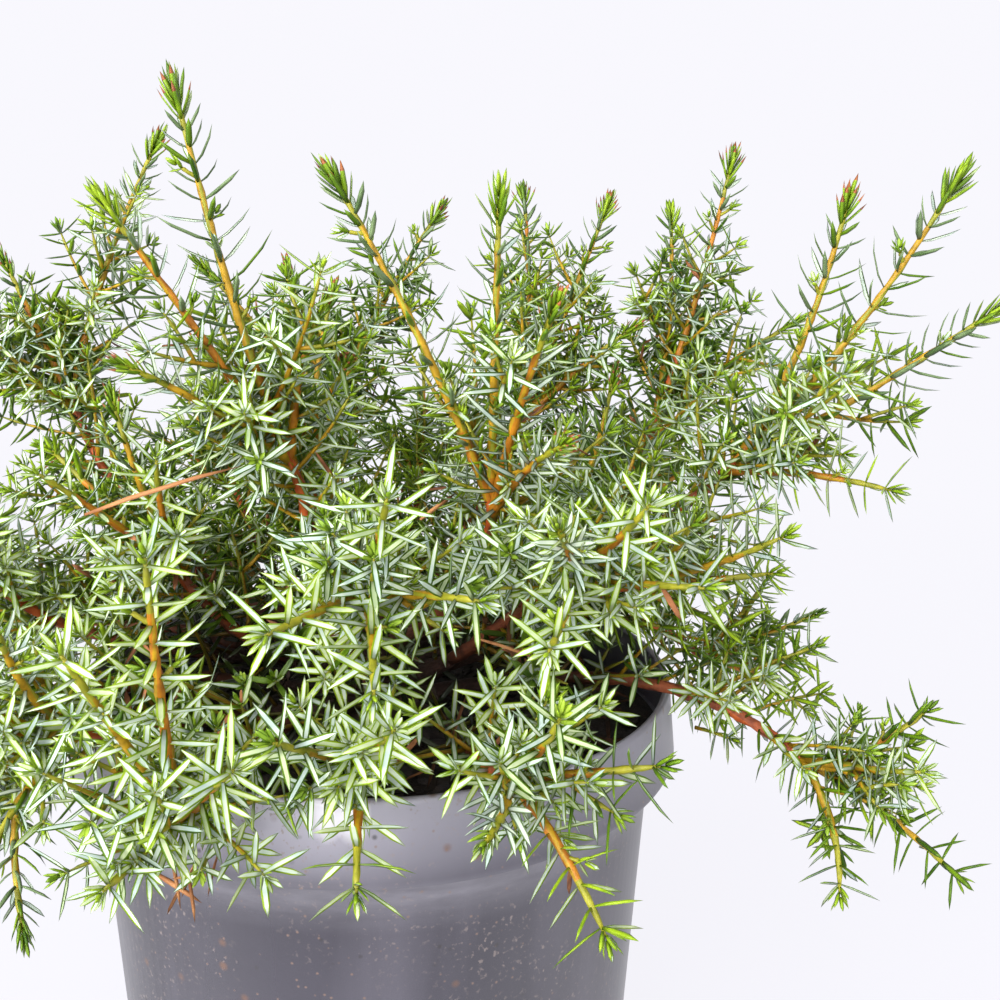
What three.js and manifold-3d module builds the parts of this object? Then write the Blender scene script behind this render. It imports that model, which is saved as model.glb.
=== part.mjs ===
// A young silver carpet juniper in its nursery pot.
// Millimetres, +Z up, origin at the middle of the pot's underside, the front toward -Y.
import * as THREE from "three";
import { mergeVertices } from "three/addons/utils/BufferGeometryUtils.js";
import Module from "manifold-3d";

const wasm = await Module();
wasm.setup();

// Pot
const POT_HEIGHT = 118;
const POT_FOOT_RADIUS = 63.5;
const POT_SHOULDER_RADIUS = 69.1;
const POT_RIM_RADIUS = 73.1;
const COLLAR_HEIGHT = 18;
const COLLAR_RADIUS = 75;
const POT_WALL = 1.5;
const POT_FLOOR = 2.2;
const POT_SIDES = 36;
const DRAIN_COUNT = 6;
const DRAIN_RADIUS = 4.5;
const DRAIN_REACH = 42;
const LIP_INSET = 0.4;
const GAP = 0.3;
const FACET_GAP = 0.25;

// Soil and stem
const SOIL_LEVEL = 104;
const SOIL_SETTLE = 1.2;
const STEM_BASE_RADIUS = 7;
const STEM_TOP_RADIUS = 5.4;
const STEM_HEIGHT = 30;
const STEM_SIDES = 12;
const STEM_FLARE = 1.2;
const FLARE_FADE = 6;

// Boughs: the tier is where on the stem they start, counted upward.
const TIER_RISES = [6, 15, 24];
const BOUGH_BASE_RADIUS = 2.1;
const BOUGH_TIP_RADIUS = 1.5;
const BOUGH_STEPS = 5;
const BOUGH_SIDES = 5;
const RIM_CLEARANCE = 3.5;
const PULL_SHARE = 0.3;
const LIFT_STEP = 2;

// How much of a limb is bough: the rest of it leads its mass.
const BOUGH_SHARE = 0.36;

// Shoots
const LEADER_RADIUS = 1.8;
const SHOOT_RADIUS = 1.55;
const SHOOT_OVERLAP = 3.5;
const SHOOT_BOW = 0.36;
const SHOOT_SPREAD = 0.16;
const SIDE_RADIUS = 1.3;
const SIDE_SPACING = 14;
const SIDE_ANGLE = 50;
const SIDE_SHARE = 0.46;
const SIDE_BOW = 0.55;
const SIDE_FORWARD = 0.18;
const SIDE_SHORTEST = 12;
const SIDE_LONGEST = 34;
const SIDE_KEPT = 18;
const LEADING_SHARE = 0.52;
const LONGEST_REST = 62;
const TWIG_SPACE = 6.5;
const GOLDEN_TURN = 137.5;

// Needles, fewer and larger than on the living plant
const NEEDLE_LENGTH = 18;
const NEEDLE_THICKNESS = 3;
const NEEDLE_LEAN = 62;
const TUFT_LENGTH = 12.5;
const TUFT_LEAN = 34;
const TUFT_PLACE = 7;
const WHORL_SPACING = 13;
const WHORL_START = 7;
const SIDE_WHORL_START = 7;
const OWN_MARGIN = 3.6;
const SHOOT_MARGIN = 1;
const LIMB_MARGIN = 1.9;
const POT_MARGIN = 1.6;
const SHORT_EDGE = 0.01;
const FIRST_TURN = 11;
const TURN_STEP = 37;
const RETRY_TURN = 17;
const TRIES = 6;

// Places looked at along each curve
const PATH_SAMPLES = 24;
const LIMB_SAMPLES = 20;
const LINE_SAMPLES = 18;
const SIDE_SAMPLES = 8;
const NEEDLE_SAMPLES = [0.4, 0.7, 1];

// One row for each mass of foliage: the azimuth and reach place its fork about the pot's axis,
// the rise is the fork's height above the soil, and each shoot is [heading, climb, length].
const MASSES = [
  { name: "left_tall", tier: 2, azimuth: -114, reach: 38, rise: 75, bend: 0.05,
    shoots: [[-165, 75, 75], [-146, 55, 62], [-27, 71, 34], [-134, 29, 43]] },
  { name: "centre_pair", tier: 2, azimuth: -56, reach: 51, rise: 65, bend: 0.03,
    shoots: [[-165, 64, 73], [-86, 78, 64], [-62, 60, 50], [-65, 29, 38]] },
  { name: "right_fan", tier: 2, azimuth: -13, reach: 86, rise: 71, bend: 0.08,
    shoots: [[-14, 71, 62], [-11, 56, 76], [-11, 34, 64], [-30, -5, 36]] },
  { name: "back_left", tier: 2, azimuth: 114, reach: 44, rise: 71, bend: 0.06,
    shoots: [[44, 55, 72], [155, 44, 62], [140, 69, 46]] },
  { name: "left_back", tier: 2, azimuth: 161, reach: 90, rise: 77, bend: 0.06,
    shoots: [[33, 69, 74], [-161, 31, 40], [131, 33, 47], [180, 67, 42]] },
  { name: "back_mid", tier: 2, azimuth: 48, reach: 53, rise: 72, bend: 0.05,
    shoots: [[89, 53, 80], [39, 62, 68], [-5, 40, 42]] },
  { name: "back_right", tier: 2, azimuth: 28, reach: 84, rise: 74, bend: 0.05,
    shoots: [[16, 75, 72], [80, 62, 64], [0, 35, 46]] },
  { name: "centre_top", tier: 2, azimuth: 150, reach: 22, rise: 60, bend: 0.03,
    shoots: [[-60, 48, 44], [70, 72, 50], [175, 50, 44], [-140, 20, 34]] },
  { name: "right_mid", tier: 1, azimuth: -26, reach: 68, rise: 45, bend: 0.04,
    shoots: [[-35, 26, 38], [-12, 9, 31], [21, -30, 30], [-73, 41, 35]] },
  { name: "centre_star", tier: 1, azimuth: -52, reach: 73, rise: 55, bend: 0.04,
    shoots: [[-99, 27, 40], [-70, 34, 38], [-100, -4, 40], [-48, 8, 34]] },
  { name: "front_high", tier: 1, azimuth: -85, reach: 72, rise: 54, bend: -0.06,
    shoots: [[-82, -10, 36], [-48, 12, 34], [-110, 6, 37], [-75, 46, 34]] },
  { name: "centre_left", tier: 1, azimuth: -150, reach: 50, rise: 46, bend: 0.04,
    shoots: [[-128, 40, 42], [170, 42, 40], [-80, 56, 36], [-165, 74, 42]] },
  { name: "centre_right", tier: 1, azimuth: 10, reach: 48, rise: 44, bend: 0.04,
    shoots: [[30, 40, 42], [-28, 48, 38], [78, 48, 42], [0, 76, 46]] },
  { name: "left_far", tier: 1, azimuth: -166, reach: 88, rise: 40, bend: 0.04,
    shoots: [[-120, 50, 40], [-152, 22, 38], [-75, 34, 40], [158, 62, 44]] },
  { name: "back_far_left", tier: 1, azimuth: 126, reach: 92, rise: 46, bend: 0.05,
    shoots: [[125, 30, 46], [88, 34, 44], [162, 24, 42], [120, 66, 42]] },
  { name: "back_far_mid", tier: 1, azimuth: 88, reach: 98, rise: 44, bend: 0.05,
    shoots: [[92, 26, 44], [58, 24, 42], [124, 28, 38], [90, 64, 44]] },
  { name: "back_far_right", tier: 1, azimuth: 47, reach: 102, rise: 40, bend: 0.05,
    shoots: [[50, 26, 42], [16, 26, 42], [78, 24, 36], [48, 62, 44]] },
  { name: "right_low", tier: 0, azimuth: -21, reach: 108, rise: 5, bend: -0.05,
    shoots: [[10, 26, 30], [-50, 20, 28], [-85, -48, 28], [-6, -36, 42]] },
  { name: "front_right", tier: 0, azimuth: -68, reach: 89, rise: 23, bend: -0.05,
    shoots: [[-52, -36, 32], [-24, 18, 30], [-100, 8, 32], [-70, 46, 30]] },
  { name: "front_mid", tier: 0, azimuth: -86, reach: 79, rise: 24, bend: -0.03,
    shoots: [[-85, -20, 30], [-112, 30, 34], [-72, 34, 36]] },
  { name: "left_front", tier: 0, azimuth: -106, reach: 91, rise: 16, bend: 0.04,
    shoots: [[-80, 65, 64], [-112, 58, 50], [-58, 38, 40], [-104, 4, 26]] },
  { name: "left_out", tier: 0, azimuth: -131, reach: 84, rise: 22, bend: 0.03,
    shoots: [[-123, 38, 38], [-156, 16, 34], [-92, 55, 42], [-110, -36, 28]] },
  { name: "left_low", tier: 0, azimuth: -147, reach: 84, rise: 12, bend: -0.07,
    shoots: [[-75, -57, 40], [178, -44, 46], [170, 2, 40], [-135, -20, 36]] },
  { name: "left_rear_low", tier: 0, azimuth: 165, reach: 98, rise: 14, bend: -0.05,
    shoots: [[172, 14, 42], [134, -4, 36], [160, -38, 34], [170, 48, 36]] },
  { name: "back_low_left", tier: 0, azimuth: 134, reach: 98, rise: 10, bend: -0.06,
    shoots: [[134, -30, 42], [104, -2, 34], [136, 18, 38]] },
  { name: "back_low_mid", tier: 0, azimuth: 96, reach: 98, rise: 10, bend: -0.06,
    shoots: [[98, -32, 40], [66, 0, 36], [102, 20, 40]] },
  { name: "back_low_right", tier: 0, azimuth: 58, reach: 100, rise: 10, bend: -0.06,
    shoots: [[58, -30, 40], [28, -2, 34], [62, 20, 40]] },
  { name: "right_back", tier: 0, azimuth: 17, reach: 93, rise: 6, bend: -0.04,
    shoots: [[12, 20, 36], [-14, -24, 32], [44, -12, 34], [10, 56, 30]] },
];

const COLOURS = {
  pot: 0x6e6c7a,
  soil: 0x33251c,
  stem: 0x6b3f26,
  bough: 0x9a4f28,
  foliage: 0x6f9079,
};

// A small repeatable random sequence.
function sequence(start) {
  let state = start >>> 0;
  return () => {
    state = (Math.imul(state, 1664525) + 1013904223) >>> 0;
    return state / 4294967296;
  };
}

function vector(x, y, z) {
  return new THREE.Vector3(x, y, z);
}

function direction(heading, climb) {
  const turn = THREE.MathUtils.degToRad(heading);
  const lift = THREE.MathUtils.degToRad(climb);
  const flat = Math.cos(lift);
  return vector(flat * Math.cos(turn), flat * Math.sin(turn), Math.sin(lift));
}

// Two directions square to the given one.
function squareTo(along) {
  const steep = Math.abs(along.z) > 0.95;
  const reference = steep ? vector(1, 0, 0) : vector(0, 0, 1);
  const across = vector(0, 0, 0).crossVectors(along, reference).normalize();
  const over = vector(0, 0, 0).crossVectors(along, across);
  return [across, over];
}

// A direction leaned away from an axis by an angle, turned about it by another.
function leaned(axis, lean, turn) {
  const [across, over] = squareTo(axis);
  const angle = THREE.MathUtils.degToRad(lean);
  const round = THREE.MathUtils.degToRad(turn);
  return axis
    .clone()
    .multiplyScalar(Math.cos(angle))
    .addScaledVector(across, Math.sin(angle) * Math.cos(round))
    .addScaledVector(over, Math.sin(angle) * Math.sin(round));
}

function solidOf(points, faces) {
  return new wasm.Manifold(
    new wasm.Mesh({
      numProp: 3,
      vertProperties: new Float32Array(points.flatMap((p) => [p.x, p.y, p.z])),
      triVerts: new Uint32Array(faces.flat()),
    }),
  );
}

// A tapering limb along a curve, with flat ends.
function limb(curve, steps, sides, radiusAt) {
  const points = [];
  const faces = [];
  let across = squareTo(curve.getTangent(0))[0];
  for (let i = 0; i <= steps; i += 1) {
    const t = i / steps;
    const centre = curve.getPoint(t);
    const tangent = curve.getTangent(t);
    across = across.clone().addScaledVector(tangent, -across.dot(tangent)).normalize();
    const over = vector(0, 0, 0).crossVectors(tangent, across);
    const radius = radiusAt(t);
    for (let k = 0; k < sides; k += 1) {
      const angle = (2 * Math.PI * k) / sides;
      points.push(
        centre
          .clone()
          .addScaledVector(across, radius * Math.cos(angle))
          .addScaledVector(over, radius * Math.sin(angle)),
      );
    }
  }
  for (let i = 0; i < steps; i += 1)
    for (let k = 0; k < sides; k += 1) {
      const next = (k + 1) % sides;
      const low = i * sides;
      const high = low + sides;
      faces.push([low + k, low + next, high + next]);
      faces.push([low + k, high + next, high + k]);
    }
  const last = steps * sides;
  for (let k = 1; k + 1 < sides; k += 1) {
    faces.push([0, k + 1, k]);
    faces.push([last, last + k, last + k + 1]);
  }
  return solidOf(points, faces);
}

// A shoot is a three-sided core that narrows to a point, with whorls of needles drawn out of it.
// Each whorl has its place along the curve, its lean, its needles' length and which of them grow.
function shoot(curve, length, radius, turn, whorls) {
  const points = [];
  const faces = [];
  let across = squareTo(curve.getTangent(0))[0];
  // The directions out of the core at a place along it.
  const spokes = (t, first, count) => {
    const tangent = curve.getTangent(t);
    across = across.clone().addScaledVector(tangent, -across.dot(tangent)).normalize();
    const over = vector(0, 0, 0).crossVectors(tangent, across);
    return Array.from({ length: count }, (_, k) => {
      const angle = THREE.MathUtils.degToRad(first + (360 * k) / count);
      return across
        .clone()
        .multiplyScalar(Math.cos(angle))
        .addScaledVector(over, Math.sin(angle));
    });
  };
  const ring = (t, outs) => {
    const centre = curve.getPoint(t);
    const size = radius * (1 - 0.5 * t);
    for (const out of outs) points.push(centre.clone().addScaledVector(out, size));
    return points.length - outs.length;
  };
  let first = turn;
  let below = ring(0, spokes(0, first, 3));
  faces.push([below, below + 2, below + 1]);
  const half = NEEDLE_THICKNESS / 2 / length;
  for (const { t, lean, reach, grown } of whorls) {
    const centre = curve.getPoint(t);
    const axis = curve.getTangent(t);
    const outs = spokes(t, first + 60, 6);
    const spikes = [outs[0], outs[2], outs[4]];
    const kept = spikes.map((out) => grown(centre, axis, out));
    const bare = !kept.includes(true);
    const low = ring(bare ? t : t - half, spikes);
    for (let k = 0; k < 3; k += 1) {
      const next = (k + 1) % 3;
      faces.push([below + k, below + next, low + k]);
      faces.push([below + next, low + next, low + k]);
    }
    first += 60;
    below = low;
    if (bare) continue;
    const middle = ring(t, outs);
    const high = ring(t + half, spikes);
    const angle = THREE.MathUtils.degToRad(lean);
    for (let k = 0; k < 3; k += 1) {
      const next = (k + 1) % 3;
      const spike = middle + 2 * k;
      const valley = spike + 1;
      const nextSpike = middle + 2 * next;
      faces.push([low + k, valley, spike]);
      faces.push([low + k, low + next, valley]);
      faces.push([low + next, nextSpike, valley]);
      faces.push([spike, valley, high + k]);
      faces.push([valley, high + next, high + k]);
      faces.push([valley, nextSpike, high + next]);
      if (kept[k])
        points[spike]
          .copy(centre)
          .addScaledVector(spikes[k], Math.sin(angle) * reach)
          .addScaledVector(axis, Math.cos(angle) * reach);
    }
    below = high;
  }
  points.push(curve.getPoint(1));
  const tip = points.length - 1;
  for (let k = 0; k < 3; k += 1) faces.push([below + k, below + ((k + 1) % 3), tip]);
  return solidOf(points, faces);
}

function turned(profile, sides) {
  const geometry = new THREE.LatheGeometry(
    profile.map(([radius, height]) => new THREE.Vector2(radius, height)),
    sides,
  );
  geometry.rotateX(Math.PI / 2);
  return geometry;
}

function solidOfGeometry(geometry) {
  const bare = new THREE.BufferGeometry();
  bare.setAttribute("position", geometry.getAttribute("position"));
  bare.setIndex(geometry.getIndex());
  const merged = mergeVertices(bare, 1e-4);
  const corners = merged.getIndex().array;
  const position = merged.getAttribute("position");
  const kept = [];
  for (let i = 0; i < corners.length; i += 3) {
    const [a, b, c] = [corners[i], corners[i + 1], corners[i + 2]];
    if (a !== b && b !== c && c !== a) kept.push(a, b, c);
  }
  return new wasm.Manifold(
    new wasm.Mesh({
      numProp: 3,
      vertProperties: new Float32Array(position.array),
      triVerts: new Uint32Array(kept),
    }),
  );
}

function geometryOf(solid) {
  const mesh = solid.getMesh();
  const geometry = new THREE.BufferGeometry();
  geometry.setAttribute("position", new THREE.BufferAttribute(mesh.vertProperties, 3));
  geometry.setIndex(new THREE.BufferAttribute(mesh.triVerts, 1));
  geometry.computeVertexNormals();
  return geometry;
}

const plant = new THREE.Group();
plant.name = "potted_juniper";

function place(name, solid, colour, roughness) {
  const material = new THREE.MeshStandardMaterial({
    color: colour,
    roughness,
    metalness: 0,
    flatShading: true,
  });
  const mesh = new THREE.Mesh(geometryOf(solid), material);
  mesh.name = name;
  plant.add(mesh);
}

// The pot: a tapering tub with a deep collar, drained through its floor.
const collarFoot = POT_HEIGHT - COLLAR_HEIGHT;
const innerShoulder = POT_SHOULDER_RADIUS - POT_WALL;
const innerFoot = POT_FOOT_RADIUS - POT_WALL;
let pot = solidOfGeometry(
  turned(
    [
      [0, 0],
      [POT_FOOT_RADIUS - 1.5, 0],
      [POT_FOOT_RADIUS, 1.5],
      [POT_SHOULDER_RADIUS, collarFoot - 1],
      [COLLAR_RADIUS, collarFoot],
      [POT_RIM_RADIUS, POT_HEIGHT],
      [POT_RIM_RADIUS - POT_WALL, POT_HEIGHT],
      [COLLAR_RADIUS - POT_WALL - LIP_INSET, collarFoot + 2.4],
      [innerShoulder, collarFoot + LIP_INSET],
      [innerFoot, POT_FLOOR],
      [0, POT_FLOOR],
    ],
    POT_SIDES,
  ),
);
for (let i = 0; i < DRAIN_COUNT; i += 1) {
  const hole = new THREE.CylinderGeometry(DRAIN_RADIUS, DRAIN_RADIUS, POT_FLOOR * 4, 12);
  hole.rotateX(Math.PI / 2);
  const turn = (2 * Math.PI * (i + 0.5)) / DRAIN_COUNT;
  hole.translate(DRAIN_REACH * Math.cos(turn), DRAIN_REACH * Math.sin(turn), 0);
  pot = pot.subtract(solidOfGeometry(hole));
}
place("pot", pot, COLOURS.pot, 0.55);

// The soil fills the pot to its settled surface.
const soilGap = GAP + FACET_GAP;
place(
  "soil",
  solidOfGeometry(
    turned(
      [
        [0, POT_FLOOR + GAP],
        [innerFoot - soilGap, POT_FLOOR + GAP],
        [innerShoulder - soilGap, collarFoot + LIP_INSET + GAP],
        [COLLAR_RADIUS - POT_WALL - LIP_INSET - soilGap - 0.6, SOIL_LEVEL - SOIL_SETTLE],
        [STEM_BASE_RADIUS * 3, SOIL_LEVEL],
        [0, SOIL_LEVEL],
      ],
      POT_SIDES,
    ),
  ),
  COLOURS.soil,
  0.95,
);

// The stem stands on the soil from a flat cut.
const stemFoot = SOIL_LEVEL + GAP;
const stemLine = new THREE.LineCurve3(
  vector(0, 0, stemFoot),
  vector(0, 0, SOIL_LEVEL + STEM_HEIGHT),
);
function stemRadius(t) {
  const flare = STEM_FLARE * Math.max(0, 1 - FLARE_FADE * t);
  return THREE.MathUtils.lerp(STEM_BASE_RADIUS, STEM_TOP_RADIUS, t) + flare;
}
place("stem", limb(stemLine, 5, STEM_SIDES, stemRadius), COLOURS.stem, 0.9);

// Whether a point keeps clear of the pot, the soil and the ground.
function clearOfPot(point, margin) {
  if (point.z < margin) return false;
  if (point.z > POT_HEIGHT + margin) return true;
  const away = Math.hypot(point.x, point.y);
  if (away > COLLAR_RADIUS + margin) return true;
  return away < POT_RIM_RADIUS - POT_WALL - margin && point.z > SOIL_LEVEL + margin;
}

// The stretch of a cubic curve between two of its own places.
function stretch({ v0, v1, v2, v3 }, from, to) {
  const along = (t) => {
    const u = 1 - t;
    return vector(0, 0, 0)
      .addScaledVector(v0, u * u * u)
      .addScaledVector(v1, 3 * u * u * t)
      .addScaledVector(v2, 3 * u * t * t)
      .addScaledVector(v3, t * t * t);
  };
  const slope = (t) => {
    const u = 1 - t;
    return vector(0, 0, 0)
      .addScaledVector(v0, -u * u)
      .addScaledVector(v1, u * u - 2 * u * t)
      .addScaledVector(v2, 2 * u * t - t * t)
      .addScaledVector(v3, t * t);
  };
  const span = to - from;
  const begin = along(from);
  const end = along(to);
  return new THREE.CubicBezierCurve3(
    begin,
    begin.clone().addScaledVector(slope(from), span),
    end.clone().addScaledVector(slope(to), -span),
    end,
  );
}

// Lay out the forks, the boughs and the leading shoots.
const limbs = [];
for (let i = 0; i <= 10; i += 1)
  limbs.push({ point: stemLine.getPoint(i / 10), radius: STEM_BASE_RADIUS, owner: "stem" });

for (const tier of [0, 1, 2]) {
  const members = MASSES.filter((mass) => mass.tier === tier);
  members.sort((a, b) => a.azimuth - b.azimuth);
  const even = 360 / members.length;
  const drift = members.reduce((sum, mass, rank) => sum + mass.azimuth - rank * even, 0);
  members.forEach((mass, rank) => {
    mass.start = rank * even + drift / members.length;
  });
}

for (const mass of MASSES) {
  mass.fork = direction(mass.azimuth, 0).multiplyScalar(mass.reach);
  mass.fork.z = SOIL_LEVEL + mass.rise;
  mass.mean = vector(0, 0, 0);
  for (const [heading, climb, length] of mass.shoots)
    mass.mean.addScaledVector(direction(heading, climb), length);
  mass.mean.normalize();
  const height = SOIL_LEVEL + TIER_RISES[mass.tier];
  const outward = direction(mass.start, 0);
  const onStem = stemRadius(TIER_RISES[mass.tier] / STEM_HEIGHT) + GAP + 0.1;
  const pull = PULL_SHARE * mass.fork.distanceTo(vector(0, 0, height));
  let path = null;
  for (let lift = 0; !path; lift += LIFT_STEP) {
    const tilt = Math.atan2(lift / 2, pull);
    const begin = outward.clone().multiplyScalar(onStem + BOUGH_BASE_RADIUS * Math.sin(tilt));
    begin.z = height;
    const first = begin.clone().addScaledVector(outward, pull);
    first.z += lift / 2;
    const second = mass.fork.clone().addScaledVector(mass.mean, -pull);
    second.z += lift;
    const tried = new THREE.CubicBezierCurve3(begin, first, second, mass.fork);
    const points = tried.getPoints(PATH_SAMPLES);
    if (points.every((point) => clearOfPot(point, RIM_CLEARANCE))) path = tried;
  }
  const length = path.getLength();
  mass.bough = stretch(path, 0, BOUGH_SHARE - GAP / length);
  for (const point of mass.bough.getPoints(LIMB_SAMPLES))
    limbs.push({ point, radius: BOUGH_BASE_RADIUS, owner: mass.name });
  const fromFork = path.getPoint(1 - SHOOT_OVERLAP / length);
  mass.lines = mass.shoots.map(([heading, climb, reach], rank) => {
    const along = direction(heading, climb);
    const tip = mass.fork.clone().addScaledVector(along, reach);
    const control = mass.fork
      .clone()
      .addScaledVector(along, reach * SHOOT_BOW)
      .addScaledVector(mass.mean, reach * SHOOT_SPREAD);
    control.z -= mass.bend * reach;
    const begin = rank === 0 ? mass.fork : fromFork;
    const curve = new THREE.QuadraticBezierCurve3(begin, control, tip);
    return { curve, length: reach, radius: SHOOT_RADIUS, firstWhorl: WHORL_START };
  });
  // The first shoot is the leader, which runs on from the mass's own stem.
  const [leader] = mass.lines;
  const whole = new THREE.CurvePath();
  whole.add(stretch(path, BOUGH_SHARE, 1));
  whole.add(leader.curve);
  leader.curve = whole;
  leader.length = whole.getLength();
  leader.radius = LEADER_RADIUS;
}

// The side shoots start low on each shoot and turn about it.
for (const mass of MASSES) {
  const random = sequence(mass.name.length * 977 + mass.rise * 131 + mass.reach);
  mass.sides = mass.lines.flatMap(({ curve, length }) => {
    const count = Math.floor((length * LEADING_SHARE) / SIDE_SPACING);
    const first = random() * 360;
    const sides = [];
    for (let i = 0; i < count; i += 1) {
      const t = (SIDE_SPACING * (i + 0.75)) / length;
      const axis = curve.getTangent(t);
      const way = leaned(axis, SIDE_ANGLE, first + i * GOLDEN_TURN);
      const size = SIDE_SHARE * (0.85 + 0.3 * random());
      const left = Math.min(length * (1 - t), LONGEST_REST);
      const full = THREE.MathUtils.clamp(left * size, SIDE_SHORTEST, SIDE_LONGEST);
      const begin = curve.getPoint(t);
      const tip = begin.clone().addScaledVector(way, full);
      tip.addScaledVector(axis, full * SIDE_FORWARD);
      const control = begin.clone().addScaledVector(way, full * SIDE_BOW);
      sides.push({
        curve: new THREE.QuadraticBezierCurve3(begin, control, tip),
        length: full,
        radius: SIDE_RADIUS,
        firstWhorl: SIDE_WHORL_START,
      });
    }
    return sides;
  });
}

// A side shoot that would leave its mass's space or touch a limb is skipped.
function spaceTaken(point, owner) {
  for (const other of limbs) {
    const near = other.owner === owner ? other.radius + LIMB_MARGIN : TWIG_SPACE;
    if (point.distanceTo(other.point) < near) return true;
  }
  for (const mass of MASSES) {
    if (mass.name === owner) continue;
    for (const sample of mass.samples)
      if (point.distanceTo(sample) < TWIG_SPACE) return true;
  }
  return !clearOfPot(point, POT_MARGIN + 1);
}

for (const mass of MASSES) {
  for (const line of mass.lines) line.samples = line.curve.getPoints(LINE_SAMPLES);
  mass.samples = mass.lines.flatMap((line) => line.samples);
}
for (const mass of MASSES)
  for (const side of mass.sides) {
    side.samples = side.curve.getPoints(SIDE_SAMPLES);
    if (side.length < SIDE_KEPT) continue;
    if (side.samples.slice(1).some((point) => spaceTaken(point, mass.name))) continue;
    mass.lines.push(side);
    mass.samples.push(...side.samples);
  }

function nearest(point, samples) {
  let best = Infinity;
  for (const sample of samples) best = Math.min(best, point.distanceToSquared(sample));
  return Math.sqrt(best);
}

// Whether a needle keeps to its own shoot's space and clear of every limb and of the pot.
function needleFits(mass, line, base, along, reach) {
  return NEEDLE_SAMPLES.every((share) => {
    const point = base.clone().addScaledVector(along, reach * share);
    if (!clearOfPot(point, POT_MARGIN)) return false;
    for (const other of limbs)
      if (point.distanceTo(other.point) < other.radius + LIMB_MARGIN) return false;
    const own = nearest(point, line.samples);
    return (
      mass.lines.every(
        (other) => other === line || nearest(point, other.samples) > own + SHOOT_MARGIN,
      ) &&
      MASSES.every(
        (other) => other === mass || nearest(point, other.samples) > own + OWN_MARGIN,
      )
    );
  });
}

// The whorls along a shoot, counted back from the closer tuft near its tip.
function whorlsOn(mass, line) {
  const room = line.length - TUFT_PLACE - line.firstWhorl;
  const count = Math.max(0, Math.floor(room / WHORL_SPACING));
  const whorls = [];
  for (let i = count; i >= 0; i -= 1) {
    const lean = i === 0 ? TUFT_LEAN : NEEDLE_LEAN;
    const reach = i === 0 ? TUFT_LENGTH : NEEDLE_LENGTH;
    const angle = THREE.MathUtils.degToRad(lean);
    whorls.push({
      t: 1 - (TUFT_PLACE + i * WHORL_SPACING) / line.length,
      lean,
      reach,
      grown: (centre, axis, out) => {
        const along = out.clone().multiplyScalar(Math.sin(angle));
        along.addScaledVector(axis, Math.cos(angle));
        return needleFits(mass, line, centre, along, reach);
      },
    });
  }
  return whorls;
}

// Whether every edge of a fused solid is long enough to keep.
function sound(solid) {
  const { vertProperties, triVerts } = solid.getMesh();
  for (let i = 0; i < triVerts.length; i += 3)
    for (let k = 0; k < 3; k += 1) {
      const a = triVerts[i + k] * 3;
      const b = triVerts[i + ((k + 1) % 3)] * 3;
      const apart = Math.hypot(
        vertProperties[a] - vertProperties[b],
        vertProperties[a + 1] - vertProperties[b + 1],
        vertProperties[a + 2] - vertProperties[b + 2],
      );
      if (apart < SHORT_EDGE) return false;
    }
  return true;
}

// Fuse a shoot on, turned a little further each time its joint leaves a crumb.
function grow(body, mass, line, turn) {
  const whorls = whorlsOn(mass, line);
  for (let i = 0; i < TRIES; i += 1) {
    const grown = shoot(line.curve, line.length, line.radius, turn + i * RETRY_TURN, whorls);
    const fused = body ? body.add(grown) : grown;
    if (sound(fused)) return fused;
  }
  return body;
}

for (const mass of MASSES) {
  const taper = (t) => THREE.MathUtils.lerp(BOUGH_BASE_RADIUS, BOUGH_TIP_RADIUS, t);
  const bough = limb(mass.bough, BOUGH_STEPS, BOUGH_SIDES, taper);
  place(`bough_${mass.name}`, bough, COLOURS.bough, 0.85);
  let body = null;
  mass.lines.forEach((line, i) => {
    body = grow(body, mass, line, FIRST_TURN + i * TURN_STEP);
  });
  place(mass.name, body, COLOURS.foliage, 0.7);
}

export default plant;
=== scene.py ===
"""A young silver carpet juniper in its grey nursery pot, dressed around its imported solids."""

import math

import bmesh
import bpy
import numpy as np
from mathutils import Matrix, Vector, noise


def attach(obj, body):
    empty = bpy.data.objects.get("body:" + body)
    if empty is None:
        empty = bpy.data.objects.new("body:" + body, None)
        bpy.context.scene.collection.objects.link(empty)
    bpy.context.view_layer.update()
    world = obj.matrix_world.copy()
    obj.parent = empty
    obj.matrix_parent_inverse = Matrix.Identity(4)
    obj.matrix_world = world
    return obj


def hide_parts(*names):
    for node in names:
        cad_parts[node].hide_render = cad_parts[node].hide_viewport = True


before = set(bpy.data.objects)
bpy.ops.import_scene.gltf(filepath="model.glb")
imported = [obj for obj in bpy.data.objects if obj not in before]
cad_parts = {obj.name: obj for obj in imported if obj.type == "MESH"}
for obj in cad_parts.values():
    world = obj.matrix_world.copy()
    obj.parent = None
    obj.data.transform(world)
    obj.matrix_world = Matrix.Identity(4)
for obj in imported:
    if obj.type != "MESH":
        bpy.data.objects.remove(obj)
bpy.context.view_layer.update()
MM = 0.001

# The pot, its soil and the stem, as in the solids, in millimetres.
POT_HEIGHT = 118
POT_FOOT_RADIUS = 63.5
POT_SHOULDER_RADIUS = 69.1
POT_RIM_RADIUS = 73.1
COLLAR_HEIGHT = 18
COLLAR_FOOT = POT_HEIGHT - COLLAR_HEIGHT
COLLAR_RADIUS = 75
POT_WALL = 1.5
POT_FLOOR = 2.2
DRAIN_COUNT = 6
DRAIN_RADIUS = 4.5
DRAIN_REACH = 42
SOIL_LEVEL = 104
STEM_BASE_RADIUS = 7
STEM_TOP_RADIUS = 5.4
STEM_HEIGHT = 30
STEM_FLARE = 1.2
FLARE_FADE = 6
GAP = 0.3

# How finely the pot, the peat and the bark are made, in sides and rings.
POT_SIDES = 144
SOIL_SIDES = 96
STEM_SIDES = 36
STEM_RINGS = 26
BOUGH_SIDES = 14
BOUGH_RINGS = 22

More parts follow.
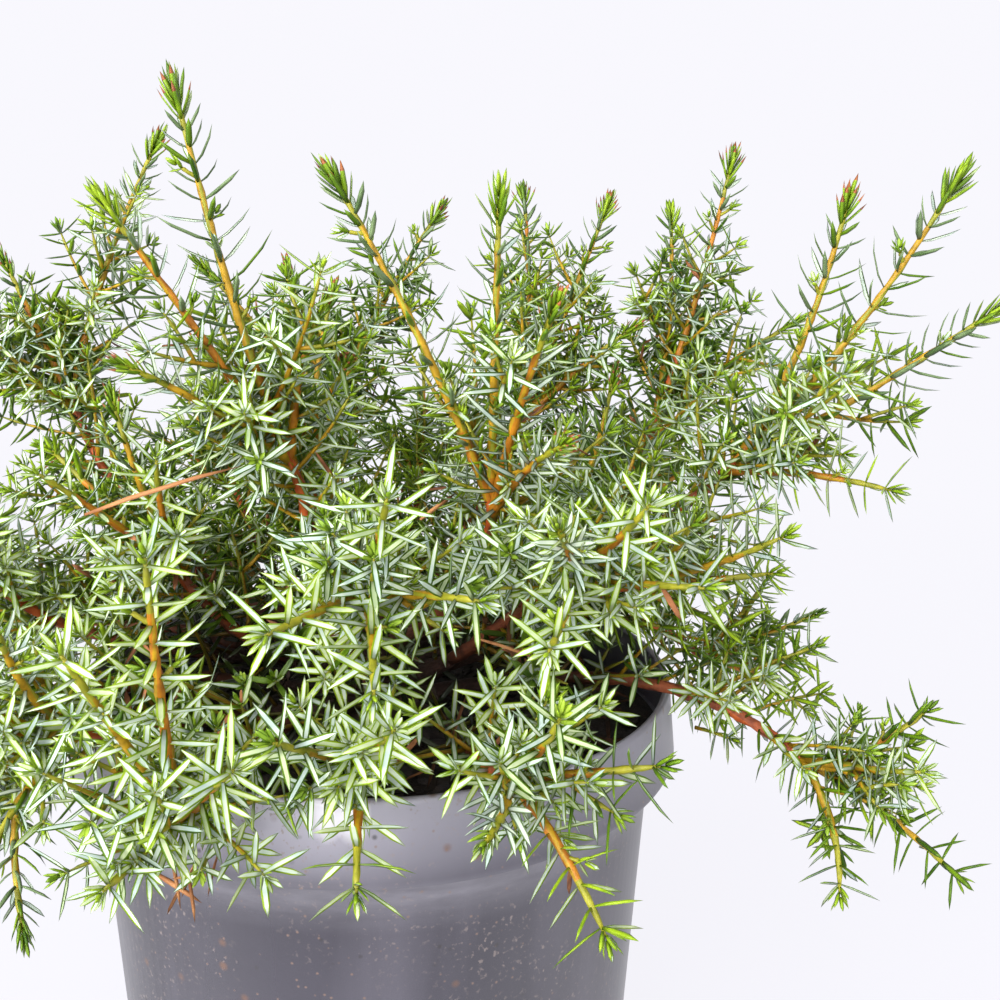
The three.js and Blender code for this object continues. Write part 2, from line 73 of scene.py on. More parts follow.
# The bark's relief, as shares of a limb's radius, how close its fibres and flakes are round a
# limb and along it, and how far apart in the pattern two limbs lie.
FIBRE_RELIEF = 0.16
FIBRES_AROUND = 3
FIBRES_ALONG = 0.16
FLAKE_RELIEF = 0.1
FLAKES_AROUND = 1.2
FLAKES_ALONG = 0.45
BARK_ROOM = 0.05
BOUGH_SHIFT = 3.7
STEM_SHIFT = 91.0

# The middles of two small painted glints, highlights painted on the pot's rim, in millimetres.
POT_GLINTS = ((-2, -73.3, 115.6), (2.7, -73.3, 115.4))

# Where each kind of random draw starts.
PEAT_SEED = 5
FOLIAGE_SEED = 2024
LITTER_SEED = 77

# The peat's broad and fine lumps, how close they are and how high, and the highest they reach.
PEAT_LUMPS = ((90, 1.1), (260, 0.7))
HIGHEST_LUMP = 1.2

# Chips of bark and fallen needles on the peat: how many, their sizes in millimetres, a chip's
# three half sizes as shares, how high they lie and how far they tilt, and a chip's roughness.
CHIP_COUNT = 240
CHIP_SMALLEST = 1
CHIP_SPREAD = 2.2
CHIP_SHARES = (1.5, 0.8, 0.35)
CHIP_RISE = 0.9
CHIP_TILT = 0.7
CHIP_RELIEF = 0.25
CHIP_RELIEF_SCALE = 900
FALLEN_COUNT = 500
FALLEN_SHORTEST = 8
FALLEN_SPREAD = 5
FALLEN_WIDTH = 1.4
FALLEN_CURL = 0.05
FALLEN_RISE = 1.6
FALLEN_TILT = 10

# How far out from the pot's axis they start, and how far a needle may reach.
LITTER_REACH = 66
LITTER_LIMIT = 70

# The growth rule, as in the solids.
TIER_RISES = (6, 15, 24)
BOUGH_BASE_RADIUS = 2.1
BOUGH_TAPER = 0.4
BOUGH_SHARE = 0.36
RIM_CLEARANCE = 3.5
PULL_SHARE = 0.3
LIFT_STEP = 2
PATH_SAMPLES = 24
SHOOT_OVERLAP = 3.5
SHOOT_BOW = 0.36
SHOOT_SPREAD = 0.16
SIDE_SPACING = 14
SIDE_ANGLE = 50
SIDE_BOW = 0.55
SIDE_FORWARD = 0.18
SIDE_SHARE = 0.46
SIDE_SHORTEST = 12
SIDE_LONGEST = 34
LEADING_SHARE = 0.52
LONGEST_REST = 62
GOLDEN_TURN = 137.5

# The finer twigs, which only this scene has: how they lean, and how far down they may head
# before they are turned to the other side.
TWIG_LEAN = 46
TWIG_LEAN_SPREAD = 20
TWIG_LOWEST_WAY = -0.25

# Where they and the buds grow: the bare foot of a bough and of a side shoot, the share of a side
# shoot that bears them, and where on a leading shoot the buds begin and end.
BARE_BOUGH_SHARE = 0.3
BARE_SIDE = 4
SIDE_TWIGS_SHARE = 0.6
BUDS_FROM_SHARE = 0.3
BUDLESS_TIP = 12

# For what bears them: the shortest length, the spread of the lengths and the step between them.
FINER_TWIGS = {
    "bough": (11, 9, 5),
    "woody": (13, 11, 3.4),
    "shoot": (10, 10, 3.6),
    "side": (8, 6, 4.6),
    "axil": (3.2, 2.2, 7.5),
}

# The share of a leading shoot that bears twigs, from its fork: where the shoot is short, where
# it is longer than LONG_FROM millimetres, and on the bushy masses.
SHORT_SHARE = 0.3
LONG_SHARE = 0.14
LONG_FROM = 55
BUSHY_SHARE = 0.62
BUSHY = ("back_left", "back_mid", "back_right", "centre_top", "left_back")

# A factor on the step between them, above 1 on the more open masses and below it on the closest.
OPEN_BY = {
    "front_mid": 4.0,
    "front_right": 3.4,
    "front_high": 2.6,
    "centre_star": 1.8,
    "centre_left": 1.5,
    "centre_pair": 2.4,
    "right_fan": 1.3,
    "right_mid": 1.6,
    "right_low": 1.5,
    "right_back": 2.2,
    "back_low_right": 1.6,
    "left_front": 1.3,
    "back_left": 0.8,
    "back_mid": 0.8,
    "back_right": 0.8,
    "left_back": 0.8,
}

# One row for each mass: name, tier, azimuth, reach, rise, bend, then [heading, climb, length] shoots.
MASSES = (
    ("left_tall", 2, -114, 38, 75, 0.05,
     ((-165, 75, 75), (-146, 55, 62), (-27, 71, 34), (-134, 29, 43))),
    ("centre_pair", 2, -56, 51, 65, 0.03,
     ((-165, 64, 73), (-86, 78, 64), (-62, 60, 50), (-65, 29, 38))),
    ("right_fan", 2, -13, 86, 71, 0.08,
     ((-14, 71, 62), (-11, 56, 76), (-11, 34, 64), (-30, -5, 36))),
    ("back_left", 2, 114, 44, 71, 0.06,
     ((44, 55, 72), (155, 44, 62), (140, 69, 46))),
    ("left_back", 2, 161, 90, 77, 0.06,
     ((33, 69, 74), (-161, 31, 40), (131, 33, 47), (180, 67, 42))),
    ("back_mid", 2, 48, 53, 72, 0.05,
     ((89, 53, 80), (39, 62, 68), (-5, 40, 42))),
    ("back_right", 2, 28, 84, 74, 0.05,
     ((16, 75, 72), (80, 62, 64), (0, 35, 46))),
    ("centre_top", 2, 150, 22, 60, 0.03,
     ((-60, 48, 44), (70, 72, 50), (175, 50, 44), (-140, 20, 34))),
    ("right_mid", 1, -26, 68, 45, 0.04,
     ((-35, 26, 38), (-12, 9, 31), (21, -30, 30), (-73, 41, 35))),
    ("centre_star", 1, -52, 73, 55, 0.04,
     ((-99, 27, 40), (-70, 34, 38), (-100, -4, 40), (-48, 8, 34))),
    ("front_high", 1, -85, 72, 54, -0.06,
     ((-82, -10, 36), (-48, 12, 34), (-110, 6, 37), (-75, 46, 34))),
    ("centre_left", 1, -150, 50, 46, 0.04,
     ((-128, 40, 42), (170, 42, 40), (-80, 56, 36), (-165, 74, 42))),
    ("centre_right", 1, 10, 48, 44, 0.04,
     ((30, 40, 42), (-28, 48, 38), (78, 48, 42), (0, 76, 46))),
    ("left_far", 1, -166, 88, 40, 0.04,
     ((-120, 50, 40), (-152, 22, 38), (-75, 34, 40), (158, 62, 44))),
    ("back_far_left", 1, 126, 92, 46, 0.05,
     ((125, 30, 46), (88, 34, 44), (162, 24, 42), (120, 66, 42))),
    ("back_far_mid", 1, 88, 98, 44, 0.05,
     ((92, 26, 44), (58, 24, 42), (124, 28, 38), (90, 64, 44))),
    ("back_far_right", 1, 47, 102, 40, 0.05,
     ((50, 26, 42), (16, 26, 42), (78, 24, 36), (48, 62, 44))),
    ("right_low", 0, -21, 108, 5, -0.05,
     ((10, 26, 30), (-50, 20, 28), (-85, -48, 28), (-6, -36, 42))),
    ("front_right", 0, -68, 89, 23, -0.05,
     ((-52, -36, 32), (-24, 18, 30), (-100, 8, 32), (-70, 46, 30))),
    ("front_mid", 0, -86, 79, 24, -0.03,
     ((-85, -20, 30), (-112, 30, 34), (-72, 34, 36))),
    ("left_front", 0, -106, 91, 16, 0.04,
     ((-80, 65, 64), (-112, 58, 50), (-58, 38, 40), (-104, 4, 26))),
    ("left_out", 0, -131, 84, 22, 0.03,
     ((-123, 38, 38), (-156, 16, 34), (-92, 55, 42), (-110, -36, 28))),
    ("left_low", 0, -147, 84, 12, -0.07,
     ((-75, -57, 40), (178, -44, 46), (170, 2, 40), (-135, -20, 36))),
    ("left_rear_low", 0, 165, 98, 14, -0.05,
     ((172, 14, 42), (134, -4, 36), (160, -38, 34), (170, 48, 36))),
    ("back_low_left", 0, 134, 98, 10, -0.06,
     ((134, -30, 42), (104, -2, 34), (136, 18, 38))),
    ("back_low_mid", 0, 96, 98, 10, -0.06,
     ((98, -32, 40), (66, 0, 36), (102, 20, 40))),
    ("back_low_right", 0, 58, 100, 10, -0.06,
     ((58, -30, 40), (28, -2, 34), (62, 20, 40))),
    ("right_back", 0, 17, 93, 6, -0.04,
     ((12, 20, 36), (-14, -24, 32), (44, -12, 34), (10, 56, 30))),
)

# Which masses each joined piece of foliage covers.
SPRAYS = {
    "front": ("left_front", "front_mid", "front_right", "front_high"),
    "front_left": ("left_out", "left_low", "left_far", "centre_left"),
    "centre": ("left_tall", "centre_pair", "centre_star", "centre_top"),
    "right": ("right_fan", "right_mid", "right_low", "centre_right"),
    "right_back": ("back_right", "right_back", "back_far_right", "back_low_right"),
    "back": ("back_mid", "back_far_mid", "back_low_mid", "back_left"),
    "left_back": ("left_back", "left_rear_low", "back_far_left", "back_low_left"),
}

# Dry blades caught in the crown and on the rim: two ends and a width in millimetres.
BLADE_CURL = 0.07
BLADES = (
    ((-43.6, -75, 173.7), (-17, -69, 183.8), 2.2),
    ((14.1, -50, 167.7), (20.9, -44, 172.7), 1.7),
    ((26.8, -70, 149.5), (38.3, -64, 144.4), 1.7),
    ((17.4, -70, 123.1), (11, -64, 118.2), 1.5),
    ((-33, -71.5, 107), (-30, -73.5, 95), 1.7),
    ((-27, -74, 106), (-31.5, -72.5, 97), 1.4),
    ((-24, -76, 104), (-33, -72.5, 101.5), 1.4),
    ((-36.5, -70.5, 101), (-26, -75, 98), 1.5),
    ((-29, -74, 103.5), (-27, -75, 93), 1.6),
    ((-22.5, -76, 108), (-25.5, -75.5, 99), 1.3),
    ((-31, -73, 99), (-35, -70, 92), 1.3),
)

# The photograph's camera, in millimetres and degrees.
CAMERA_PLACE = (30.2, -265.6, 218.2)
CAMERA_PITCH = 12.1
CAMERA_ROLL = 0.7
CAMERA_LENS = 39.6
SENSOR_WIDTH = 36

# The room's colours at the horizon and overhead, and how far up each is reached, of 1.
HORIZON_WHITE = (0.945, 0.938, 0.99, 1)
CEILING_GREY = (0.8, 0.81, 0.83, 1)
HORIZON_LEVEL = 0.3
CEILING_LEVEL = 0.62

# The paper: its colour and glow near the pot, and from where to where they change, in metres.
PAPER_GREY = (0.05, 0.05, 0.055, 1)
PAPER_GLOW = (0.863, 0.855, 0.905, 1)
PAPER_NEAR = 0.12
PAPER_FAR = 0.9
PAPER_RADIUS = 12

# Each lamp's name, place, aim and width in metres, and its power in watts.
LAMPS = (
    ("window", (-0.4, -0.45, 1.2), (0, 0, 0.17), 0.6, 8),
    ("fill", (0.9, -0.6, 0.6), (0, 0, 0.15), 0.6, 5),
    ("left_fill", (-0.7, -0.9, 0.45), (-0.05, 0, 0.17), 1.2, 27),
    ("front_fill", (-0.3, -1.1, 0.5), (-0.04, 0, 0.17), 1.6, 20),
)


# Directions and curves


def sequence(start):
    """A source of repeatable random draws, as in the solids."""
    state = [int(start) & 0xFFFFFFFF]

    def draw():
        state[0] = (state[0] * 1664525 + 1013904223) & 0xFFFFFFFF
        return state[0] / 4294967296

    return draw


def about_axis(away, turn, height):
    return Vector((away * math.cos(turn), away * math.sin(turn), height))


def direction(heading, climb):
    turn, lift = math.radians(heading), math.radians(climb)
    flat = math.cos(lift)
    return Vector((flat * math.cos(turn), flat * math.sin(turn), math.sin(lift)))


def square_to(along):
    reference = Vector((1, 0, 0)) if abs(along.z) > 0.95 else Vector((0, 0, 1))
    across = along.cross(reference).normalized()
    return across, along.cross(across)


def leaned(axis, lean, turn):
    across, over = square_to(axis)
    angle, about = math.radians(lean), math.radians(turn)
    out = across * math.cos(about) + over * math.sin(about)
    return axis * math.cos(angle) + out * math.sin(angle)


def bent(a, b, c):
    return lambda t: a * (1 - t) ** 2 + b * (2 * t * (1 - t)) + c * t * t


def arched(a, b, c, d):
    return lambda t: (
        a * (1 - t) ** 3 + b * (3 * t * (1 - t) ** 2) + c * (3 * t * t * (1 - t)) + d * t**3
    )


def stretch(a, b, c, d, start, end):
    """The part of an arched curve between two shares of it."""
    def slope(t):
        u = 1 - t
        return a * (-u * u) + b * (u * u - 2 * u * t) + c * (2 * u * t - t * t) + d * (t * t)

    curve = arched(a, b, c, d)
    span = end - start
    first, last = curve(start), curve(end)
    return arched(first, first + slope(start) * span, last - slope(end) * span, last)


def length_of(curve, steps=200):
    points = [curve(i / steps) for i in range(steps + 1)]
    return sum((points[i + 1] - points[i]).length for i in range(steps))


def evenly(curve, steps=200):
    """The same curve, run through at an even pace."""
    points = [curve(i / steps) for i in range(steps + 1)]
    marks = [0.0]
    for i in range(steps):
        marks.append(marks[-1] + (points[i + 1] - points[i]).length)

    def run(t):
        want = t * marks[-1]
        low, high = 0, steps
        while high - low > 1:
            middle = (low + high) // 2
            low, high = (middle, high) if marks[middle] <= want else (low, middle)
        part = (want - marks[low]) / max(marks[high] - marks[low], 1e-9)
        return points[low].lerp(points[high], min(max(part, 0), 1))

    return run, marks[-1]


def chained(first, second):
    """Two curves as one, run through evenly, with its length and where the second begins."""
    one, length_one = evenly(first)
    two, length_two = evenly(second)
    total = length_one + length_two

    def run(t):
        along = t * total
        if along <= length_one:
            return one(along / length_one)
        return two((along - length_one) / length_two)

    return run, total, length_one


def tangent(curve, t, step=1e-4):
    low, high = max(t - step, 0), min(t + step, 1)
    return (curve(high) - curve(low)).normalized()


# Growth


def clear_of_pot(point, margin):
    """Whether a place keeps a margin from the pot, its soil and the ground."""
    if point.z < margin:
        return False
    if point.z > POT_HEIGHT + margin:
        return True
    away = math.hypot(point.x, point.y)
    if away > COLLAR_RADIUS + margin:
        return True
    return away < POT_RIM_RADIUS - POT_WALL - margin and point.z > SOIL_LEVEL + margin


def stem_radius(t):
    flare = STEM_FLARE * max(0, 1 - FLARE_FADE * t)
    return STEM_BASE_RADIUS + (STEM_TOP_RADIUS - STEM_BASE_RADIUS) * t + flare


def start_angles():
    """Where round the stem each bough starts, evenly spread in its tier."""
    starts = {}
    for tier in range(len(TIER_RISES)):
        members = sorted((m for m in MASSES if m[1] == tier), key=lambda m: m[2])
        even = 360 / len(members)
        drift = sum(m[2] - rank * even for rank, m in enumerate(members)) / len(members)
        for rank, m in enumerate(members):
            starts[m[0]] = rank * even + drift
    return starts


def grown_mass(row, start):
    """A mass's bough, and its shoots as {curve, length, kind, woody}."""
    name, tier, azimuth, reach, rise, bend, table = row
    fork = direction(azimuth, 0) * reach
    fork.z = SOIL_LEVEL + rise
    mean = Vector()
    for heading, climb, length in table:
        mean += direction(heading, climb) * length
    mean.normalize()
    height = SOIL_LEVEL + TIER_RISES[tier]
    outward = direction(start, 0)
    on_stem = stem_radius(TIER_RISES[tier] / STEM_HEIGHT) + GAP + 0.1
    pull = PULL_SHARE * (fork - Vector((0, 0, height))).length
    lift, path = 0, None
    while path is None:
        tilt = math.atan2(lift / 2, pull)
        begin = outward * (on_stem + BOUGH_BASE_RADIUS * math.sin(tilt))
        begin.z = height
        first = begin + outward * pull + Vector((0, 0, lift / 2))
        second = fork - mean * pull + Vector((0, 0, lift))
        tried = arched(begin, first, second, fork)
        places = [i / PATH_SAMPLES for i in range(PATH_SAMPLES + 1)]
        if all(clear_of_pot(tried(t), RIM_CLEARANCE) for t in places):
            path = (begin, first, second, fork)
        lift += LIFT_STEP
    whole = arched(*path)
    length = length_of(whole)
    from_fork = whole(1 - SHOOT_OVERLAP / length)
    shoots = []
    for rank, (heading, climb, reach_out) in enumerate(table):
        along = direction(heading, climb)
        tip = fork + along * reach_out
        control = fork + along * (reach_out * SHOOT_BOW) + mean * (reach_out * SHOOT_SPREAD)
        control.z -= bend * reach_out
        curve = bent(fork if rank == 0 else from_fork, control, tip)
        shoots.append({"curve": curve, "length": reach_out, "kind": "leading", "woody": 0})
    run, total, woody = chained(stretch(*path, BOUGH_SHARE, 1), shoots[0]["curve"])
    shoots[0] = {"curve": run, "length": total, "kind": "leading", "woody": woody}
    bough = stretch(*path, 0, BOUGH_SHARE - GAP / length)
    random = sequence(len(name) * 977 + rise * 131 + reach)
    sides = []
    for shoot in shoots:
        curve, full_length = shoot["curve"], shoot["length"]
        count = int(full_length * LEADING_SHARE / SIDE_SPACING)
        turn = random() * 360
        for i in range(count):
            t = SIDE_SPACING * (i + 0.75) / full_length
            axis = tangent(curve, t)
            way = leaned(axis, SIDE_ANGLE, turn + i * GOLDEN_TURN)
            size = SIDE_SHARE * (0.85 + 0.3 * random())
            left = min(full_length * (1 - t), LONGEST_REST)
            full = min(max(left * size, SIDE_SHORTEST), SIDE_LONGEST)
            sides.append(side_shoot(curve(t), axis, way, full))
    return {"name": name, "bough": bough, "shoots": shoots, "sides": sides}


def side_shoot(begin, axis, way, full):
    tip = begin + way * full + axis * (full * SIDE_FORWARD)
    control = begin + way * (full * SIDE_BOW)
    return {"curve": bent(begin, control, tip), "length": full, "kind": "side", "woody": 0}


def finer_twigs(mass, random):
    """Short twigs on the bough, the shoots and the side shoots, and buds in the shoots' axils."""
    twigs = []
    open_by = OPEN_BY.get(mass["name"], 1)

    def grow(bearer, curve, length, start, end):
        smallest, spread, step = FINER_TWIGS[bearer]
        place = start + step * random()
        turn = random() * 360
        while place < end:
            axis = tangent(curve, place / length)
            way = leaned(axis, TWIG_LEAN + TWIG_LEAN_SPREAD * random(), turn)
            if way.z < TWIG_LOWEST_WAY:
                way = leaned(axis, TWIG_LEAN + TWIG_LEAN_SPREAD * random(), turn + 180)
            size = smallest + spread * random()
            twigs.append(side_shoot(curve(place / length), axis, way, size))
            place += step * (0.75 + 0.5 * random()) * open_by
            turn += GOLDEN_TURN

    bough, bough_length = evenly(mass["bough"])
    grow("bough", bough, bough_length, bough_length * BARE_BOUGH_SHARE, bough_length - 1)
    for shoot in mass["shoots"]:
        woody = shoot["woody"]
        grown = shoot["length"] - woody
        share = SHORT_SHARE if grown < LONG_FROM else LONG_SHARE
        if mass["name"] in BUSHY:
            share = BUSHY_SHARE
        inner = woody + grown * share
        if woody:
            grow("woody", shoot["curve"], shoot["length"], 2, woody)
        grow("shoot", shoot["curve"], shoot["length"], max(woody, 2), inner)
    for side in mass["sides"]:
        grow("side", side["curve"], side["length"], BARE_SIDE, side["length"] * SIDE_TWIGS_SHARE)
    for twig in twigs:
        twig["kind"] = "twig"
    count = len(twigs)
    for shoot in mass["shoots"]:
        bare = shoot["woody"] + (shoot["length"] - shoot["woody"]) * BUDS_FROM_SHARE
        grow("axil", shoot["curve"], shoot["length"], bare, shoot["length"] - BUDLESS_TIP)
    for bud in twigs[count:]:
        bud["kind"] = "bud"
    return twigs


# Needles

# The looks a needle may have: the colours of its band, body, point and the band's own point.
PALETTES = {
    "grey": ("silver", "slate", "slate", "silver"),
    "silver": ("silver", "deep", "deep", "silver"),
    "cool": ("silver", "leaf", "leaf", "silver"),
    "mid": ("pale", "leaf", "leaf", "pale"),
    "dark": ("pale", "deep", "deep", "pale"),
    # The gloom look is painted shade, for needles deep in the crown's heart.
    "gloom": ("deep", "deep", "deep", "deep"),
    "fresh": ("lime_band", "lime", "lime", "lime_band"),
    "flushed": ("lime_band", "lime", "russet", "russet"),
    "dead": ("straw", "straw", "straw", "straw"),
}

# A needle's width at three shares of its length, and its section in half widths. One side of
# the section, the floor of the channel on top, is the silver band.
NEEDLE_STATIONS = ((0.0, 0.6), (0.28, 1.0), (0.72, 0.88))
NEEDLE_SECTION = ((-1, 0.16), (-0.54, -0.02), (0.54, -0.02), (1, 0.16), (0, -0.46))
BAND_SIDE = 1
BAND, BODY, POINT, BAND_POINT = range(4)


def needle_template():
    """A needle's points, its faces and the part of it that each face shows."""
    rows = len(NEEDLE_STATIONS)
    sides = len(NEEDLE_SECTION)
    points = [(x * w, y, z * w) for y, w in NEEDLE_STATIONS for x, z in NEEDLE_SECTION]
    points.append((0, 1, 0))
    faces, parts = [], []
    for row in range(rows):
        for side in range(sides):
            following = (side + 1) % sides
            part = BAND if side == BAND_SIDE else BODY
            if row == rows - 1:
                faces.append((row * sides + side, row * sides + following, rows * sides))
                parts.append(BAND_POINT if part == BAND else POINT)
            else:
                low, high = row * sides, (row + 1) * sides
                faces.append((low + side, low + following, high + following, high + side))
                parts.append(part)
    faces.append(tuple(range(sides - 1, -1, -1)))
    parts.append(BODY)
    return np.array(points, float), faces, np.array(parts)


def joined_needles(name, rows):
    """Many needles as one mesh. A row holds a needle's foot, its directions across, along and
    over, its width, length and curl, and the slots of its four parts."""
    table = np.array(rows)
    feet, frames = table[:, 0:3], table[:, 3:12].reshape(-1, 3, 3)
    width, length, curl = table[:, 12], table[:, 13], table[:, 14]
    looks = table[:, 15:19].astype(int)
    points, faces, parts = needle_template()
    count = len(table)
    x = points[None, :, 0] * width[:, None] * 0.5
    y = points[None, :, 1] * length[:, None]
    z = points[None, :, 2] * width[:, None] * 0.5
    z = z + curl[:, None] * length[:, None] * points[None, :, 1] ** 2
    world = (
        feet[:, None, :]
        + x[..., None] * frames[:, None, 0]
        + y[..., None] * frames[:, None, 1]
        + z[..., None] * frames[:, None, 2]
    )
    per = len(points)
    sizes_of_faces = np.array([len(f) for f in faces])
    corners = np.concatenate([np.array(f) for f in faces])
    loops = (corners[None, :] + per * np.arange(count)[:, None]).ravel()
    totals = np.tile(sizes_of_faces, count)
    starts = np.concatenate(([0], np.cumsum(totals)[:-1]))
    slots = looks[:, parts].ravel()
    mesh = bpy.data.meshes.new(name)
    mesh.vertices.add(per * count)
    mesh.vertices.foreach_set("co", (world * MM).astype(np.float32).ravel())
    mesh.loops.add(len(loops))
    mesh.loops.foreach_set("vertex_index", loops.astype(np.int32))
    mesh.polygons.add(len(totals))
    mesh.polygons.foreach_set("loop_start", starts.astype(np.int32))
    mesh.polygons.foreach_set("loop_total", totals.astype(np.int32))
    mesh.polygons.foreach_set("material_index", slots.astype(np.int32))
    mesh.update(calc_edges=True)
    return mesh


def transported(curve, places):
    """A point, a tangent and two square directions at each place along a curve."""
    across = square_to(tangent(curve, 0))[0]
    stations = []
    for t in places:
        axis = tangent(curve, t)
        across = (across - axis * across.dot(axis)).normalized()
        stations.append((curve(t), axis, across, axis.cross(across)))
    return stations


# How each kind of shoot carries its needles: whorl spacing, tuft length and whorls, longest.
HABITS = {
    "leading": (4.6, 6.4, 6, 12.8),
    "starry": (3.6, 2.4, 3, 10.2),
    "side": (3.1, 1.8, 2, 9.3),
    "twig": (2.8, 1.6, 2, 8.4),
    "bud": (2.8, 2.0, 2, 7.0),
}

# A whorl's needles, its turn from the one before, how far both stray, how deep a needle stands in
# its shoot, and how far it is swayed about its own length.
WHORL = 3
WHORL_TURN = 60
TURN_SPREAD = 8
AROUND_SPREAD = 16
ROOTED_SHARE = 0.6
LEADING_SWAY = 64
SIDE_SWAY = 40

# The bare foot of a shoot, the bare share of its woody part, and the needles' room at the pot.
BARE_FOOT = 3
BARE_WOODY_SHARE = 0.3
NEEDLE_CLEARANCE = 0.8

# Leading shoots that end low mostly take the starry habit, and high tips are mostly flushed.
STARRY_BELOW = 184
STARRY_CHANCE = 0.75
FLUSHED_ABOVE = 186
FLUSHED_CHANCE = 0.78

# In a tuft: the lean at its foot in degrees, how much less it is at its tip, its spread, and the
# curl. Then, for a leading shoot's tuft and for any other: what is added to the lean, the size at
# the foot and how much less it is at the tip, as shares of the longest, and the width.
TUFT_LEAN = 38
TUFT_CLOSING = 30
TUFT_LEAN_SPREAD = 14
TUFT_CURL = 0.1
LEADING_TUFT = (0, 0.58, 0.16, 1.25)
SIDE_TUFT = (8, 0.4, 0.12, 0.95)

# Below it: the middle lean, the least size as a share of the longest, the least width and curl,
# and how far each of them spreads.
OPEN_LEAN = 76
OPEN_LEAN_SPREAD = 18
OPEN_SIZE = 0.74
OPEN_SIZE_SPREAD = 0.32
OPEN_WIDTH = 1.15
OPEN_WIDTH_SPREAD = 0.27
OPEN_CURL = 0.03
OPEN_CURL_SPREAD = 0.14

# On a leading shoot they are thinner and curl more, and on its last stretch they are young:
# closer together, shorter and more upright.
LEADING_THINNER = 0.1
LEADING_CURL = 0.15
YOUNG_REACH = 26
YOUNG_SPACING = 0.56
YOUNG_SIZE = 0.46
YOUNG_UPRIGHT = 20

# Low in the pot's mouth most needles are left out.
WELL_DEPTH = 30
WELL_RADIUS = 70
WELL_THINNING = 0.75

# How far out and up the shade of the crown's heart reaches, and the most it can be. A needle in
# it is dead or painted in shade with the gloom look, and one at its edge is painted darker with
# the dark look.
HEART_REACH = 80
HEART_HEIGHT = 50
MOST_SHADE = 0.92
HEART_SHADE = 1.26
SHADE_FADE = 1.32
EDGE_FACTOR = 1.8
DEAD_IN_SHADE = 0.16
DEAD_IN_LIGHT = 0.004

# In the tuft of a leading shoot: the chance that a needle is flushed, or fresh on a shoot of the
# lowest tone, and up to which chance it is of the middle green. In any other tuft: up to which
# tone all are fresh, and else the chance of the middle green.
FLUSHED_SHARE = 0.6
FRESH_SHARE = 0.6
MID_UP_TO = 0.8
FRESH_TONE = 0.3
MID_SHARE = 0.45

# Below the tuft: the usual look, its chance and the other look, on a leading shoot and then on
# the others, where each row holds up to a tone.
LEADING_BLADES = ("grey", 0.75, "silver")
OTHER_BLADES = (
    (0.4, "silver", 0.8, "dark"),
    (0.7, "cool", 0.8, "mid"),
    (1.0, "mid", 0.4, "cool"),
)


def whorl_marks(shoot, kind, random):
    """How far up a shoot each whorl stands, and whether it is in the tuft at the tip."""
    length = shoot["length"]
    spacing, tuft, whorls = HABITS[kind][:3]
    marks = []
    place = length - tuft - (spacing * 0.5 if kind == "leading" else 0.5)
    while place > BARE_FOOT + shoot["woody"] * BARE_WOODY_SHARE:
        marks.append((place, False))
        grown = min(1, (length - tuft - place) / YOUNG_REACH) if kind == "leading" else 1
        place -= spacing * (YOUNG_SPACING + (1 - YOUNG_SPACING) * grown) * (0.88 + 0.24 * random())
    marks.reverse()
    marks += [(length - tuft * (1 - i / whorls), True) for i in range(whorls)]
    return marks


def tuft_needle(kind, share, bud, random):
    """The lean, size, width and curl of a needle at a share of the way up its tuft."""
    looser, most, less, width = LEADING_TUFT if kind == "leading" else SIDE_TUFT
    lean = TUFT_LEAN - TUFT_CLOSING * share + TUFT_LEAN_SPREAD * (random() - 0.5) + looser
    size = HABITS[kind][3] * (most - less * share) * bud * (0.85 + 0.3 * random())
    return lean, size, width * bud, TUFT_CURL


